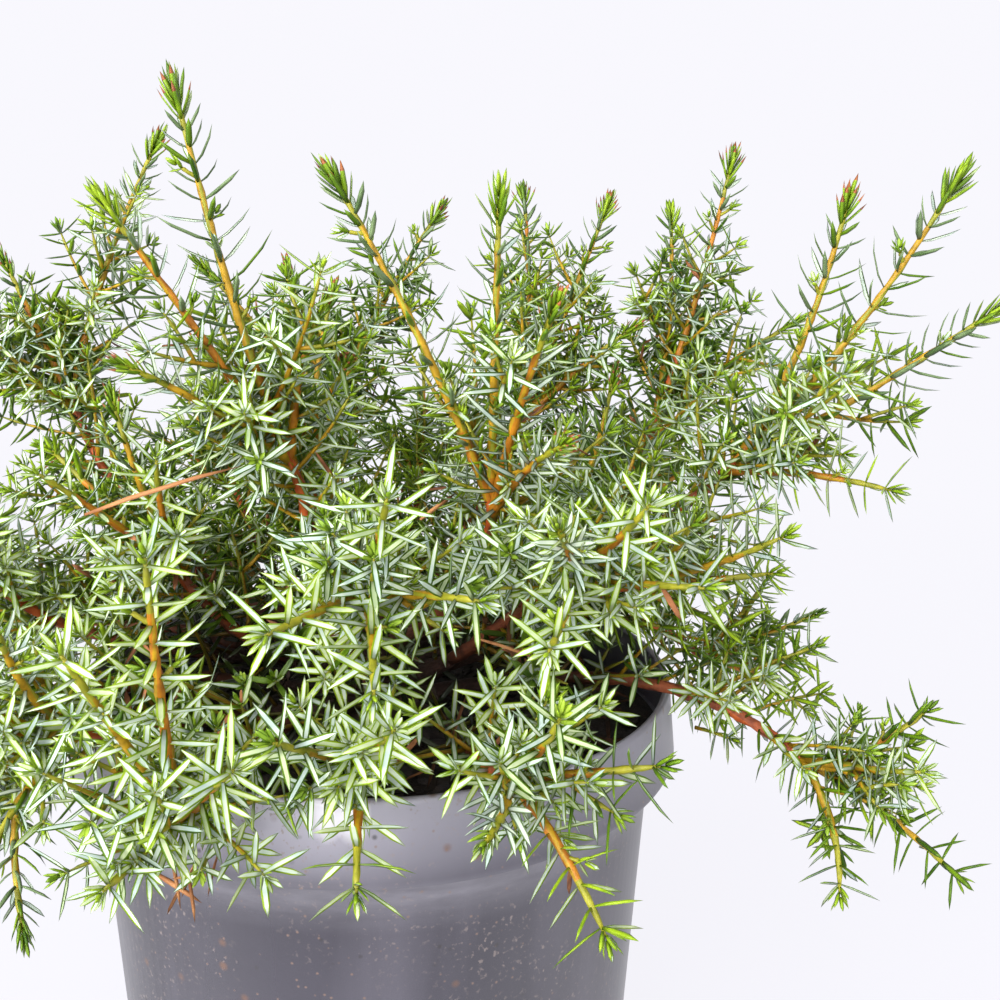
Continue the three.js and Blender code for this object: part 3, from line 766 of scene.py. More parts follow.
def shoot_needles(shoot, radius_at, random, add):
    """Whorls of three along a shoot, closing to a tuft at its tip."""
    length, kind = shoot["length"], shoot["kind"]
    if kind == "leading" and shoot["curve"](1).z < STARRY_BELOW and random() < STARRY_CHANCE:
        kind = "starry"
    tuft, longest = HABITS[kind][1], HABITS[kind][3]
    marks = whorl_marks(shoot, kind, random)
    stations = transported(shoot["curve"], [m[0] / length for m in marks])
    turn = random() * 360
    tone = random() * (0.65 if shoot["curve"](1).y > 0 else 1)
    bud = min(1, 0.34 + (length - shoot["woody"]) / 120) if kind == "leading" else 1
    flushed = random() < FLUSHED_CHANCE and shoot["curve"](1).z > FLUSHED_ABOVE
    for (place, closing), (point, axis, across, over) in zip(marks, stations):
        turn += WHORL_TURN + TURN_SPREAD * (random() - 0.5)
        rest = length - place
        for k in range(WHORL):
            about = math.radians(turn + 360 / WHORL * k + AROUND_SPREAD * (random() - 0.5))
            out = across * math.cos(about) + over * math.sin(about)
            if closing:
                look = tuft_look(kind, tone, flushed, random())
                lean, size, width, curl = tuft_needle(kind, 1 - rest / tuft, bud, random)
            else:
                lean = OPEN_LEAN + OPEN_LEAN_SPREAD * (random() - 0.5)
                size = longest * (OPEN_SIZE + OPEN_SIZE_SPREAD * random())
                look = blade_look(kind, tone, random())
                width = OPEN_WIDTH + OPEN_WIDTH_SPREAD * random()
                curl = OPEN_CURL + OPEN_CURL_SPREAD * random()
                if kind == "leading":
                    grown = min(1, (rest - tuft) / YOUNG_REACH)
                    size *= YOUNG_SIZE + (1 - YOUNG_SIZE) * grown
                    lean -= YOUNG_UPRIGHT * (1 - grown)
                    width -= LEADING_THINNER
                    curl += LEADING_CURL
            # Painted shade: deep in the heart's shade a needle takes the gloom look, at its edge the
            # dark look.
            shade, chance = shaded(point), random()
            if shade > chance:
                look = "dead" if random() < DEAD_IN_SHADE else "gloom"
            elif shade * EDGE_FACTOR > chance:
                look = "dark"
            if in_well(point) and random() < WELL_THINNING:
                continue
            angle = math.radians(lean)
            along = axis * math.cos(angle) + out * math.sin(angle)
            foot = point + out * (radius_at(place / length) * ROOTED_SHARE)
            reached = (foot + along * size, foot + along * size * 0.5)
            if not all(clear_of_pot(spot, NEEDLE_CLEARANCE) for spot in reached):
                continue
            normal = (axis - along * axis.dot(along)).normalized()
            sway = LEADING_SWAY if kind == "leading" else SIDE_SWAY
            sway = math.radians(sway * (random() - 0.5))
            side = along.cross(normal)
            normal = normal * math.cos(sway) + side * math.sin(sway)
            add(foot, along.cross(normal), along, normal, width, size, curl, look)


def shaded(point):
    """How deep in the shade of the crown's heart a place lies, from 0 to the most."""
    away = math.hypot(point.x, point.y) / HEART_REACH
    height = (point.z - SOIL_LEVEL) / HEART_HEIGHT
    return max(0, min(MOST_SHADE, HEART_SHADE - max(away, height) * SHADE_FADE))


def in_well(point):
    """Whether a place lies low in the pot's mouth, where little light falls."""
    return point.z < SOIL_LEVEL + WELL_DEPTH and math.hypot(point.x, point.y) < WELL_RADIUS


def tuft_look(kind, tone, flushed, chance):
    """The look of a needle in a tuft, by its shoot's tone and a chance of its own."""
    if kind == "leading":
        if flushed and chance < FLUSHED_SHARE:
            return "flushed"
        if chance < FRESH_SHARE - FRESH_SHARE * tone:
            return "fresh"
        return "mid" if chance < MID_UP_TO else "dark"
    if tone < FRESH_TONE:
        return "fresh"
    return "mid" if chance < MID_SHARE else "cool"


def blade_look(kind, tone, chance):
    """The look of a needle below the tuft, in the same way."""
    if chance < DEAD_IN_LIGHT:
        return "dead"
    usual, share, other = LEADING_BLADES
    if kind != "leading":
        usual, share, other = next(row[1:] for row in OTHER_BLADES if tone < row[0])
    return usual if chance < share else other


# Twigs

# A shoot's shades are numbered as in SHOOT_SKINS. They run from its tip down, and each kind of
# shoot takes the next one at these distances from its tip. A warm one is a shade further on.
OLIVE, RUST, UMBER = 0, 3, 4
NEXT_SHADE = {"leading": (12, 56, 74), "side": (8, 26), "twig": (9,), "bud": (9,)}
WARM_FROM = 11
WARM_CHANCE = 0.45
UMBER_FROM = 24

# A leading shoot's radius at its woody foot and where the green starts, and what it loses from
# there to its tip. Then the other shoots' radii at the foot, and at the tip.
WOODY_TWIG_RADIUS = 1.65
GREEN_TWIG_RADIUS = 1.1
LEADING_TAPER = 0.62
SIDE_TWIG_RADIUS = 0.62
FINE_TWIG_RADIUS = 0.48
TWIG_TIP_RADIUS = 0.3

# The tubes of the shoots: their sides, the length and twist of a step, the factors that make
# knots, waists and ridges, their clearance of the pot, and how far from the tip they end.
TWIG_SIDES = 7
TWIG_STEP = 3.2
TWIG_TWIST = 0.35
KNOT = 1.12
WAIST = 0.94
RIDGE = 0.1
TWIG_CLEARANCE = 1.2
TUFT_HIDES = 1.6


def twig_shade(shoot, rest, woody_left, side):
    """The slot that a strip of shoot takes: green at the tip, red-brown where it is old."""
    if woody_left > 0:
        return UMBER if woody_left > UMBER_FROM or side % 3 == 0 else RUST
    shade = sum(rest >= place for place in NEXT_SHADE[shoot["kind"]])
    if shoot["kind"] == "leading" and rest > WARM_FROM:
        shade += shoot["warm"]
    if side % 3 == 1:
        shade -= 1
    return min(max(shade, OLIVE), UMBER)


def twig_radius(shoot):
    """A shoot's radius along it, in millimetres."""
    length, woody = shoot["length"], shoot["woody"]
    if shoot["kind"] == "leading":
        old = woody / length

        def radius(t):
            if t < old:
                return WOODY_TWIG_RADIUS - (WOODY_TWIG_RADIUS - GREEN_TWIG_RADIUS) * t / old
            return GREEN_TWIG_RADIUS - LEADING_TAPER * (t - old) / (1 - old)

        return radius
    base = SIDE_TWIG_RADIUS if shoot["kind"] == "side" else FINE_TWIG_RADIUS
    return lambda t: base - (base - TWIG_TIP_RADIUS) * t


def joined_twigs(name, shoots):
    """Every shoot's stem as a ridged tube, all in one mesh."""
    points, faces, slots = [], [], []
    for shoot in shoots:
        length = shoot["length"]
        count = max(4, int(length / TWIG_STEP))
        radius_at = twig_radius(shoot)
        reach = 1 - TUFT_HIDES / length
        places = [reach * i / count for i in range(count + 1)]
        stations = transported(shoot["curve"], places)
        start = len(points)
        for i, (point, _, across, over) in enumerate(stations):
            knot = KNOT if i % 2 else WAIST
            radius = radius_at(places[i]) * (knot if i < count else 0.5)
            for k in range(TWIG_SIDES):
                angle = 2 * math.pi * k / TWIG_SIDES + TWIG_TWIST * i
                ridge = 1 + RIDGE * (1 if (k + i) % 2 else -1)
                out = across * math.cos(angle) + over * math.sin(angle)
                points.append(tuple((point + out * radius * ridge) * MM))
        for i in range(count):
            rest = length * (1 - (places[i] + places[i + 1]) / 2)
            woody_left = shoot["woody"] - length * places[i]
            for k in range(TWIG_SIDES):
                following = (k + 1) % TWIG_SIDES
                low, high = start + i * TWIG_SIDES, start + (i + 1) * TWIG_SIDES
                faces.append((low + k, low + following, high + following, high + k))
                slots.append(twig_shade(shoot, rest, woody_left, k))
        faces.append(tuple(range(start + TWIG_SIDES - 1, start - 1, -1)))
        slots.append(slots[-1])
        last = start + count * TWIG_SIDES
        faces.append(tuple(range(last, last + TWIG_SIDES)))
        slots.append(OLIVE)
    mesh = bpy.data.meshes.new(name)
    mesh.from_pydata(points, [], faces)
    mesh.polygons.foreach_set("material_index", np.array(slots, np.int32))
    mesh.polygons.foreach_set("use_smooth", np.ones(len(faces), bool))
    mesh.update()
    return mesh


# Materials

BLACK = (0, 0, 0, 1)
# The colour of the painted shade low in the pot's mouth.
PAINTED_SHADE = (9, 8, 4)

# Painted shade in the pot's mouth: a piece is darkest below the first height and within the first
# reach of the pot's axis, and unshaded above and beyond the second ones, in metres.
DARK_BELOW = 0.128
UNSHADED_ABOVE = 0.156
DARK_WITHIN = 0.052
UNSHADED_BEYOND = 0.074

# Skins: a material's name, its darkest and lightest colour as the eye names them, its roughness.
NEEDLE_SKINS = {
    "silver": ("silver_band", (145, 160, 152), (184, 194, 174), 0.6),
    "pale": ("pale_band", (134, 149, 112), (170, 181, 142), 0.55),
    "slate": ("slate_green", (64, 84, 48), (104, 122, 84), 0.42),
    "deep": ("deep_green", (48, 76, 8), (88, 116, 16), 0.34),
    "leaf": ("leaf_green", (84, 112, 12), (132, 156, 28), 0.36),
    "lime_band": ("lime_band", (108, 136, 40), (150, 172, 62), 0.5),
    "lime": ("lime_green", (74, 104, 10), (118, 144, 24), 0.4),
    "russet": ("russet_point", (92, 48, 26), (138, 82, 44), 0.5),
    "straw": ("dead_straw", (88, 50, 28), (158, 104, 66), 0.7),
}
SHOOT_SKINS = (
    ("olive_shoot", (98, 102, 16), (144, 138, 32), 0.5),
    ("ochre_shoot", (118, 90, 6), (172, 134, 22), 0.5),
    ("amber_shoot", (124, 72, 8), (172, 112, 22), 0.5),
    ("rust_shoot", (132, 54, 18), (180, 88, 34), 0.55),
    ("umber_shoot", (96, 46, 28), (158, 84, 50), 0.7),
)
LITTER_SKINS = (
    ("fallen_needles", (62, 38, 26), (120, 78, 54), 0.8),
    ("dry_blades", (118, 74, 44), (162, 114, 72), 0.7),
)
FALLEN_SLOTS = (0, 0, 0, 0)
BLADE_SLOTS = (1, 1, 1, 1)


def colour(red, green, blue):
    """A colour as the eye names it, 0 to 255, made linear."""
    def linear(value):
        share = value / 255
        return share / 12.92 if share <= 0.04045 else ((share + 0.055) / 1.055) ** 2.4

    return (linear(red), linear(green), linear(blue), 1)


class Finish:
    """A node material, put together socket by socket."""

    def __init__(self, name, roughness, **sockets):
        self.material = bpy.data.materials.new(name)
        self.material.use_nodes = True
        self.tree = self.material.node_tree
        self.tree.nodes.clear()
        self.surface = self.add("ShaderNodeBsdfPrincipled")
        self.surface.inputs["Roughness"].default_value = roughness
        for socket, value in sockets.items():
            self.surface.inputs[socket.replace("_", " ")].default_value = value
        out = self.add("ShaderNodeOutputMaterial")
        self.link(self.surface.outputs["BSDF"], out.inputs["Surface"])
        self.places = self.add("ShaderNodeTexCoord").outputs["Object"]

    def add(self, kind, **settings):
        node = self.tree.nodes.new(kind)
        for key, value in settings.items():
            setattr(node, key, value)
        return node

    def link(self, source, target):
        self.tree.links.new(source, target)

    def part(self, axis):
        parts = self.add("ShaderNodeSeparateXYZ")
        self.link(self.places, parts.inputs["Vector"])
        return parts.outputs[axis]

    def from_axis(self):
        away = self.add("ShaderNodeVectorMath", operation="LENGTH")
        self.link(self.stretched((1, 1, 0)), away.inputs[0])
        return away.outputs["Value"]

    def stretched(self, scale, source=None):
        mapping = self.add("ShaderNodeMapping")
        mapping.inputs["Scale"].default_value = scale
        self.link(source or self.places, mapping.inputs["Vector"])
        return mapping.outputs["Vector"]

    def clouds(self, scale, detail=3, where=None, roughness=0.5):
        node = self.add("ShaderNodeTexNoise")
        node.inputs["Scale"].default_value = scale
        node.inputs["Detail"].default_value = detail
        node.inputs["Roughness"].default_value = roughness
        self.link(where or self.places, node.inputs["Vector"])
        return node.outputs["Fac"]

    def cells(self, scale, where=None):
        node = self.add("ShaderNodeTexVoronoi")
        node.inputs["Scale"].default_value = scale
        self.link(where or self.places, node.inputs["Vector"])
        return node.outputs

    def shades(self, factor, *stops):
        ramp = self.add("ShaderNodeValToRGB")
        while len(ramp.color_ramp.elements) < len(stops):
            ramp.color_ramp.elements.new(0.5)
        for element, (place, value) in zip(ramp.color_ramp.elements, stops):
            element.position = place
            element.color = value if isinstance(value, tuple) else (value, value, value, 1)
        self.link(factor, ramp.inputs["Fac"])
        return ramp.outputs["Color"]

    def blended(self, share, low, high):
        node = self.add("ShaderNodeMix", data_type="RGBA")
        self.link(share, node.inputs[0])
        for socket, value in ((node.inputs[6], low), (node.inputs[7], high)):
            if isinstance(value, tuple):
                socket.default_value = value
            else:
                self.link(value, socket)
        return node.outputs[2]

    def paint(self, source):
        self.link(source, self.surface.inputs["Base Color"])

    def paint_shade_by_depth(self, source, most):
        """The colour, darkened with painted shade where the piece lies low in the pot's mouth."""
        low = self.shades(self.part("Z"), (DARK_BELOW, most), (UNSHADED_ABOVE, 0.0))
        inside = self.shades(self.from_axis(), (DARK_WITHIN, 1.0), (UNSHADED_BEYOND, 0.0))
        share = self.blended(inside, BLACK, low)
        self.paint(self.blended(share, source, colour(*PAINTED_SHADE)))

    def rough(self, source):
        self.link(source, self.surface.inputs["Roughness"])

    def bump(self, height, strength, distance):
        node = self.add("ShaderNodeBump")
        node.inputs["Strength"].default_value = strength
        node.inputs["Distance"].default_value = distance
        self.link(height, node.inputs["Height"])
        self.link(node.outputs["Normal"], self.surface.inputs["Normal"])


def leaf_finish(name, low, high, roughness):
    """A needle's skin: one colour that drifts a little from needle to needle."""
    finish = Finish(name, roughness, Specular_IOR_Level=0.22)
    drift = finish.clouds(160, detail=2)
    hue = finish.shades(drift, (0.36, colour(*low)), (0.64, colour(*high)))
    # Painted shade: the needles are darker low in the pot's mouth.
    finish.paint_shade_by_depth(hue, 0.95)
    return finish.material


def shoot_finish(name, low, high, roughness):
    """A green or golden shoot's skin, streaked."""
    finish = Finish(name, roughness, Specular_IOR_Level=0.3)
    streaks = finish.clouds(420, detail=4)
    hue = finish.shades(streaks, (0.3, colour(*low)), (0.7, colour(*high)))
    # Painted shade: the shoots are darker low in the pot's mouth.
    finish.paint_shade_by_depth(hue, 0.8)
    finish.bump(streaks, 0.5, 0.0003)
    return finish.material


def bark_finish():
    """Red-brown bark in lengthwise flakes, laid along each limb by its own map."""
    finish = Finish("flaking_bark", 0.75)
    laid = finish.add("ShaderNodeUVMap", uv_map="along").outputs["UV"]
    fibres = finish.clouds(5, detail=6, where=finish.stretched((9, 1.4, 1), laid), roughness=0.65)
    flakes = finish.cells(6, finish.stretched((3, 1, 1), laid))["Distance"]
    tones = finish.shades(
        fibres,
        (0.28, colour(88, 38, 20)),
        (0.5, colour(164, 78, 38)),
        (0.72, colour(208, 122, 70)),
    )
    # Painted shade: the bark is darker low in the pot's mouth.
    finish.paint_shade_by_depth(finish.blended(flakes, tones, colour(122, 60, 34)), 0.92)
    finish.bump(fibres, 0.8, 0.0005)
    return finish.material


def pot_finish():
    """Satin blue-grey plastic, dusty, splashed and water-marked, with painted light and glints."""
    finish = Finish("nursery_plastic", 0.42, Specular_IOR_Level=0.8)
    body = finish.shades(
        finish.clouds(26, detail=4),
        (0.3, colour(38, 35, 45)),
        (0.7, colour(50, 47, 58)),
    )
    height = finish.part("Z")
    # Painted light: the collar and rim are painted lighter towards the top, where light falls on
    # them.
    rim = finish.shades(height, ((COLLAR_FOOT - 1) * MM, 0.0), ((POT_HEIGHT - 1) * MM, 0.9))
    body = finish.blended(rim, body, colour(122, 120, 130))
    # Painted reflection: the collar's left front is painted lighter still, as a glare of the room's
    # light.
    painted_glare = finish.shades(finish.part("X"), (0.0, 0.75), (0.03, 0.0))
    body = finish.blended(finish.blended(painted_glare, BLACK, rim), body, colour(168, 165, 176))
    runs = finish.clouds(30, detail=5, where=finish.stretched((1, 1, 0.12)))
    washed = finish.blended(
        finish.shades(runs, (0.5, 0.0), (0.72, 0.5)), body, colour(98, 95, 105)
    )
    scuffs = finish.clouds(120, detail=6, where=finish.stretched((0.6, 0.6, 3)), roughness=0.7)
    line = finish.shades(
        height,
        ((COLLAR_FOOT - 12) * MM, 0.0),
        ((COLLAR_FOOT - 3.5) * MM, 0.7),
        (COLLAR_FOOT * MM, 0.0),
    )
    scuffed = finish.blended(scuffs, BLACK, line)
    washed = finish.blended(scuffed, washed, colour(150, 148, 156))
    patches = finish.shades(finish.clouds(34, detail=3), (0.4, 0.0), (0.62, 1.0))
    dust = finish.shades(finish.clouds(900, detail=2), (0.61, 0.0), (0.72, 0.8))
    where = finish.blended(patches, BLACK, dust)
    dusty = finish.blended(where, washed, colour(116, 104, 100))
    for scale, kept, share, tint in (
        (420, 0.4, 0.8, colour(108, 86, 74)),
        (250, 0.56, 0.75, colour(28, 23, 24)),
        (130, 0.6, 0.9, colour(88, 60, 44)),
    ):
        near = finish.cells(scale)
        crumbs = finish.shades(near["Distance"], (0.06, share), (0.17, 0.0))
        chance = finish.shades(near["Color"], (kept, 0.0), (kept + 0.05, 1.0))
        soiled = finish.blended(crumbs, BLACK, chance)
        dusty = finish.blended(soiled, dusty, tint)
    # Painted highlights: two glints painted into the rim's colour.
    for spot in POT_GLINTS:
        apart = finish.add("ShaderNodeVectorMath", operation="DISTANCE")
        finish.link(finish.stretched((1, 1, 0.6)), apart.inputs[0])
        apart.inputs[1].default_value = (spot[0] * MM, spot[1] * MM, spot[2] * 0.6 * MM)
        glint = finish.shades(apart.outputs["Value"], (0.0006, 0.9), (0.0016, 0.0))
        dusty = finish.blended(glint, dusty, colour(236, 233, 238))
    finish.paint(dusty)
    finish.rough(finish.shades(runs, (0.35, 0.24), (0.7, 0.42)))
    finish.bump(finish.clouds(500, detail=4), 0.12, 0.0002)
    return finish.material


def soil_finish():
    finish = Finish("peat", 0.95)
    grains = finish.clouds(420, detail=6, roughness=0.7)
    finish.paint(
        finish.shades(
            grains,
            (0.3, colour(14, 10, 8)),
            (0.55, colour(34, 25, 19)),
            (0.8, colour(66, 47, 35)),
        )
    )
    finish.bump(grains, 1.0, 0.0012)
    return finish.material


# Pieces


def shown(name, data):
    thing = bpy.data.objects.new(name, data)
    bpy.context.scene.collection.objects.link(thing)
    return thing


def keep(mesh, name, slot, *materials):
    """A mesh as a piece of the plant, with its materials. Its slot is not used."""
    piece = shown(name, mesh)
    for material in materials:
        mesh.materials.append(material)
    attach(piece, "root")
    return piece


def mesh_from(shape, name, smooth=True):
    bmesh.ops.recalc_face_normals(shape, faces=shape.faces)
    for face in shape.faces:
        face.smooth = smooth
    mesh = bpy.data.meshes.new(name)
    shape.to_mesh(mesh)
    shape.free()
    return mesh


def turned(profile, steps):
    """A closed profile of (radius, height) millimetres, spun about the pot's axis."""
    shape = bmesh.new()
    points = [shape.verts.new((radius * MM, 0, height * MM)) for radius, height in profile]
    edges = [shape.edges.new(pair) for pair in zip(points, points[1:])]
    bmesh.ops.spin(
        shape,
        geom=points + edges,
        cent=(0, 0, 0),
        axis=(0, 0, 1),
        angle=2 * math.pi,
        steps=steps,
        use_merge=True,
    )
    bmesh.ops.remove_doubles(shape, verts=shape.verts, dist=1e-6)
    return shape


def make_pot():
    """The pot's shell with its collar and rounded rim, drilled for drainage."""
    foot, wall = COLLAR_FOOT, POT_WALL
    profile = [
        (0, 0),
        (POT_FOOT_RADIUS - 1.6, 0),
        (POT_FOOT_RADIUS - 0.5, 0.45),
        (POT_FOOT_RADIUS, 1.6),
        (POT_SHOULDER_RADIUS - 0.1, foot - 1.4),
        (POT_SHOULDER_RADIUS + 0.5, foot - 0.7),
        (COLLAR_RADIUS - 0.9, foot - 0.1),
        (COLLAR_RADIUS - 0.2, foot + 0.15),
        (COLLAR_RADIUS, foot + 0.9),
        (POT_RIM_RADIUS + 0.25, POT_HEIGHT - 1.2),
        (POT_RIM_RADIUS + 0.1, POT_HEIGHT - 0.35),
        (POT_RIM_RADIUS - 0.4, POT_HEIGHT),
        (POT_RIM_RADIUS - 1.0, POT_HEIGHT),
        (POT_RIM_RADIUS - wall, POT_HEIGHT - 0.5),
        (COLLAR_RADIUS - wall - 0.5, foot + 2.6),
        (POT_SHOULDER_RADIUS - wall, foot + 0.5),
        (POT_FOOT_RADIUS - wall, POT_FLOOR + 1.5),
        (POT_FOOT_RADIUS - wall - 1.3, POT_FLOOR),
        (0, POT_FLOOR),
    ]
    shape = turned(profile, POT_SIDES)
    body = shown("pot_blank", mesh_from(shape, "pot_blank"))
    cutters = bmesh.new()
    for i in range(DRAIN_COUNT):
        turn = 2 * math.pi * (i + 0.5) / DRAIN_COUNT
        place = about_axis(DRAIN_REACH, turn, 0) * MM
        bmesh.ops.create_cone(
            cutters,
            cap_ends=True,
            segments=32,
            radius1=DRAIN_RADIUS * MM,
            radius2=DRAIN_RADIUS * MM,
            depth=POT_FLOOR * 4 * MM,
            matrix=Matrix.Translation(place),
        )
    drill = shown("drill", mesh_from(cutters, "drill", smooth=False))
    cut = body.modifiers.new("drains", "BOOLEAN")
    cut.object = drill
    cut.operation = "DIFFERENCE"
    cut.solver = "EXACT"
    bpy.context.view_layer.update()
    seen = body.evaluated_get(bpy.context.evaluated_depsgraph_get())
    mesh = bpy.data.meshes.new_from_object(seen)
    mesh.name = "pot_shell"
    bpy.data.objects.remove(body)
    bpy.data.objects.remove(drill)
    mesh.materials.clear()
    piece = keep(mesh, "pot_shell", "pot_plastic", pot_finish())
    creased = piece.modifiers.new("creases", "EDGE_SPLIT")
    creased.split_angle = math.radians(50)
    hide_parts("pot")


def make_soil():
    """The settled peat, uneven on top, with chips of bark lying on it."""
    foot, wall = COLLAR_FOOT, POT_WALL
    profile = [
        (0, POT_FLOOR + GAP),
        (POT_FOOT_RADIUS - wall - 1.8, POT_FLOOR + GAP),
        (POT_SHOULDER_RADIUS - wall - 0.7, foot + 0.9),
        (COLLAR_RADIUS - wall - 1.5, SOIL_LEVEL - 1.4),
    ]
    profile += [(radius, SOIL_LEVEL) for radius in range(68, 0, -4)]
    profile.append((0, SOIL_LEVEL))
    shape = turned(profile, SOIL_SIDES)
    for vert in shape.verts:
        if vert.co.z < (SOIL_LEVEL - 1) * MM:
            continue
        lump = sum(noise.noise(vert.co * scale) * height for scale, height in PEAT_LUMPS)
        vert.co.z += min(lump, HIGHEST_LUMP) * MM
    random = sequence(PEAT_SEED)
    noise.seed_set(PEAT_SEED)
    for _ in range(CHIP_COUNT):
        away = LITTER_REACH * math.sqrt(random())
        turn = 2 * math.pi * random()
        place = about_axis(away, turn, SOIL_LEVEL + CHIP_RISE) * MM
        lie = Matrix.Rotation(2 * math.pi * random(), 4, "Z")
        lie = lie @ Matrix.Rotation(CHIP_TILT * (random() - 0.5), 4, "X")
        size = CHIP_SMALLEST + CHIP_SPREAD * random()
        chip = bmesh.ops.create_icosphere(
            shape,
            subdivisions=1,
            radius=MM,
            matrix=Matrix.Translation(place)
            @ lie
            @ Matrix.Diagonal((*(size * share for share in CHIP_SHARES), 1)),
        )
        for vert in chip["verts"]:
            vert.co += noise.noise_vector(vert.co * CHIP_RELIEF_SCALE) * (CHIP_RELIEF * MM)
    piece = keep(mesh_from(shape, "peat", smooth=False), "peat", "potting_soil", soil_finish())
    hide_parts("soil")


def bend_limb(shape, curve, radius_at, sides, rings, shift):
    """A stick is made, cut across, bent along its curve and given the bark's relief."""
    stick = bmesh.new()
    laid = stick.loops.layers.uv.new("along")
    bmesh.ops.create_cone(stick, cap_ends=True, segments=sides, radius1=1, radius2=1, depth=1)
    upright = [e for e in stick.edges if abs(e.verts[0].co.z - e.verts[1].co.z) > 0.5]
    bmesh.ops.subdivide_edges(stick, edges=upright, cuts=rings - 1)
    for face in stick.faces:
        angles = [math.atan2(loop.vert.co.y, loop.vert.co.x) for loop in face.loops]
        crosses = max(angles) - min(angles) > math.pi
        for loop, angle in zip(face.loops, angles):
            if crosses and angle < 0:
                angle += 2 * math.pi
            loop[laid].uv = (angle / (2 * math.pi), loop.vert.co.z * rings / 8)
    stations = transported(curve, [i / rings for i in range(rings + 1)])
    for vert in stick.verts:
        rank = round((vert.co.z + 0.5) * rings)
        point, _, across, over = stations[rank]
        angle = math.atan2(vert.co.y, vert.co.x)
        fibre = about_axis(FIBRES_AROUND, angle, rank * FIBRES_ALONG + shift)
        flake = about_axis(FLAKES_AROUND, angle, rank * FLAKES_ALONG + shift)
        relief = 1 + FIBRE_RELIEF * noise.noise(fibre) + FLAKE_RELIEF * noise.noise(flake)
        out = across * math.cos(angle) + over * math.sin(angle)
        vert.co = (point + out * (radius_at(rank / rings) * relief)) * MM
    mesh = mesh_from(stick, "stick")
    shape.from_mesh(mesh)
    bpy.data.meshes.remove(mesh)


def bough_radius(t):
    return BOUGH_BASE_RADIUS - BARK_ROOM - BOUGH_TAPER * t


def stem_line(t):
    return Vector((0, 0, SOIL_LEVEL + GAP + (STEM_HEIGHT - GAP) * t))


def make_limbs(masses):
    """The boughs, joined, and the stem, both with the bark's relief."""
    shape = bmesh.new()
    for rank, mass in enumerate(masses):
        shift = rank * BOUGH_SHIFT
        bend_limb(shape, mass["bough"], bough_radius, BOUGH_SIDES, BOUGH_RINGS, shift)
    piece = keep(mesh_from(shape, "boughs"), "boughs", "bark", bark_finish())
    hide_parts(*("bough_" + mass["name"] for mass in masses))
    shape = bmesh.new()
    bend_limb(shape, stem_line, stem_radius, STEM_SIDES, STEM_RINGS, STEM_SHIFT)
    piece = keep(mesh_from(shape, "stem_bark"), "stem_bark", "bark", bark_finish())
    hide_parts("stem")


def make_foliage(masses):
    """Each spray's masses as one mesh of needles and one of twigs."""
    surfaces = [leaf_finish(*skin) for skin in NEEDLE_SKINS.values()]
    barks = [shoot_finish(*skin) for skin in SHOOT_SKINS]
    order = list(NEEDLE_SKINS)
    looks = {look: [order.index(skin) for skin in skins] for look, skins in PALETTES.items()}
    by_name = {mass["name"]: mass for mass in masses}
    random = sequence(FOLIAGE_SEED)
    for spray, members in SPRAYS.items():
        shoots = []
        rows = []

        def add(foot, across, along, over, width, size, curl, look):
            rows.append((*foot, *across, *along, *over, width, size, curl, *looks[look]))

        for name in members:
            mass = by_name[name]
            stems = mass["shoots"] + mass["sides"] + finer_twigs(mass, random)
            stems = [
                s for s in stems
                if all(clear_of_pot(s["curve"](i / 6), TWIG_CLEARANCE) for i in range(1, 7))
            ]
            shoots += stems
            for stem in stems:
                stem["warm"] = int(random() < WARM_CHANCE)
                shoot_needles(stem, twig_radius(stem), random, add)
        needles = joined_needles("needles_" + spray, rows)
        piece = keep(needles, "needles_" + spray, "needles", *surfaces)
        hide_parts(*members)
        twigs = joined_twigs("twigs_" + spray, shoots)
        piece = keep(twigs, "twigs_" + spray, "bark", *barks)
        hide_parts(*members)


def make_litter():
    """Needles fallen on the peat, and a few long dry blades caught in the crown."""
    random = sequence(LITTER_SEED)
    rows = []
    for _ in range(FALLEN_COUNT):
        away = LITTER_REACH * math.sqrt(random())
        turn = 2 * math.pi * random()
        foot = about_axis(away, turn, SOIL_LEVEL + FALLEN_RISE)
        along = direction(360 * random(), FALLEN_TILT * (random() - 0.5))
        over = direction(360 * random(), 60 + 30 * random())
        over = (over - along * over.dot(along)).normalized()
        size = FALLEN_SHORTEST + FALLEN_SPREAD * random()
        if math.hypot(*(foot + along * size).xy) > LITTER_LIMIT:
            continue
        laid = (*along.cross(over), *along, *over)
        rows.append((*foot, *laid, FALLEN_WIDTH, size, FALLEN_CURL, *FALLEN_SLOTS))
    for begin, end, width in BLADES:
        begin, along = Vector(begin), Vector(end) - Vector(begin)
        size = along.length
        along.normalize()
        over = square_to(along)[1]
        laid = (*along.cross(over), *along, *over)
        rows.append((*begin, *laid, width, size, BLADE_CURL, *BLADE_SLOTS))
    mesh = joined_needles("dry_litter", rows)
    finishes = [leaf_finish(*skin) for skin in LITTER_SKINS]
    piece = keep(mesh, "dry_litter", "potting_soil", *finishes)
    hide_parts("soil")


# Room, light and camera


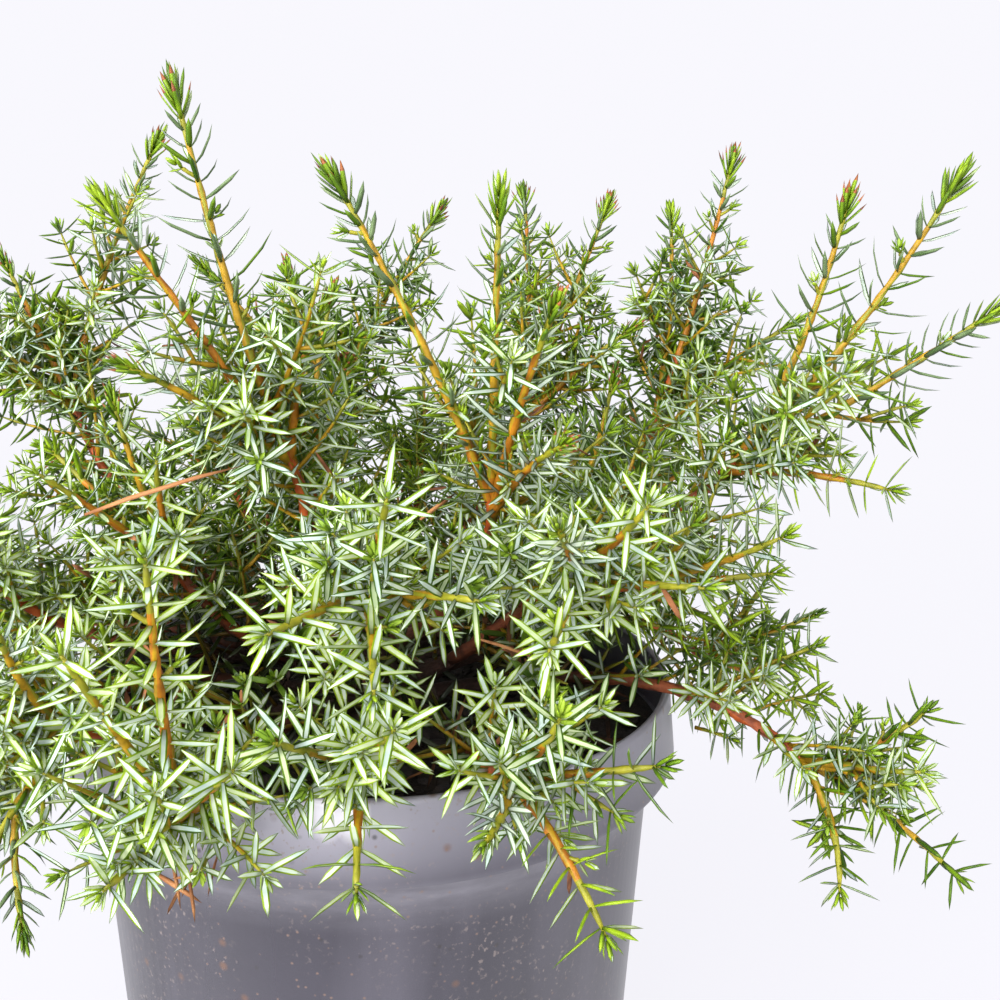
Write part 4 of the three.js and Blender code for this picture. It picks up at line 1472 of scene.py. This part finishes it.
def make_room():
    """White paper that runs without an edge into a white horizon, under a dimmer ceiling."""
    floor = bmesh.new()
    bmesh.ops.create_circle(floor, cap_ends=True, segments=96, radius=PAPER_RADIUS)
    piece = shown("floor", mesh_from(floor, "floor", smooth=False))
    paper = Finish("white_paper", 0.9, Specular_IOR_Level=0, Emission_Strength=1)
    away = paper.from_axis()
    paper.paint(paper.shades(away, (PAPER_NEAR, PAPER_GREY), (PAPER_FAR, BLACK)))
    glow = paper.shades(away, (PAPER_NEAR, PAPER_GLOW), (PAPER_FAR, HORIZON_WHITE))
    paper.link(glow, paper.surface.inputs["Emission Color"])
    piece.data.materials.append(paper.material)
    world = bpy.data.worlds.new("white_room")
    world.use_nodes = True
    tree = world.node_tree
    places = tree.nodes.new("ShaderNodeTexCoord")
    parts = tree.nodes.new("ShaderNodeSeparateXYZ")
    tree.links.new(places.outputs["Generated"], parts.inputs["Vector"])
    ramp = tree.nodes.new("ShaderNodeValToRGB")
    ramp.color_ramp.elements[0].position = HORIZON_LEVEL
    ramp.color_ramp.elements[0].color = HORIZON_WHITE
    ramp.color_ramp.elements[1].position = CEILING_LEVEL
    ramp.color_ramp.elements[1].color = CEILING_GREY
    tree.links.new(parts.outputs["Z"], ramp.inputs["Fac"])
    tree.links.new(ramp.outputs["Color"], tree.nodes["Background"].inputs["Color"])
    bpy.context.scene.world = world


def soft_light(name, place, target, size, power):
    lamp = bpy.data.lights.new(name, "AREA")
    lamp.shape = "DISK"
    lamp.size = size
    lamp.energy = power
    holder = shown(name, lamp)
    holder.location = place
    aim = Vector(target) - Vector(place)
    holder.rotation_euler = aim.to_track_quat("-Z", "Y").to_euler()


def make_camera():
    lens = bpy.data.cameras.new("photographer")
    lens.lens = CAMERA_LENS
    lens.sensor_width = SENSOR_WIDTH
    lens.clip_start = 0.01
    holder = shown("photographer", lens)
    pitch, roll = math.radians(CAMERA_PITCH), math.radians(CAMERA_ROLL)
    ahead = Vector((0, math.cos(pitch), -math.sin(pitch)))
    right = Vector((1, 0, 0))
    up = right.cross(ahead)
    level = right * math.cos(roll) + up * math.sin(roll)
    upright = up * math.cos(roll) - right * math.sin(roll)
    turn = Matrix((level, upright, -ahead)).transposed()
    holder.matrix_world = Matrix.Translation(Vector(CAMERA_PLACE) * MM) @ turn.to_4x4()
    bpy.context.scene.camera = holder


make_camera()
make_room()
for lamp in LAMPS:
    soft_light(*lamp)
bpy.context.scene.view_settings.view_transform = "Standard"

starts = start_angles()
masses = [grown_mass(row, starts[row[0]]) for row in MASSES]
make_pot()
make_soil()
make_limbs(masses)
make_foliage(masses)
make_litter()
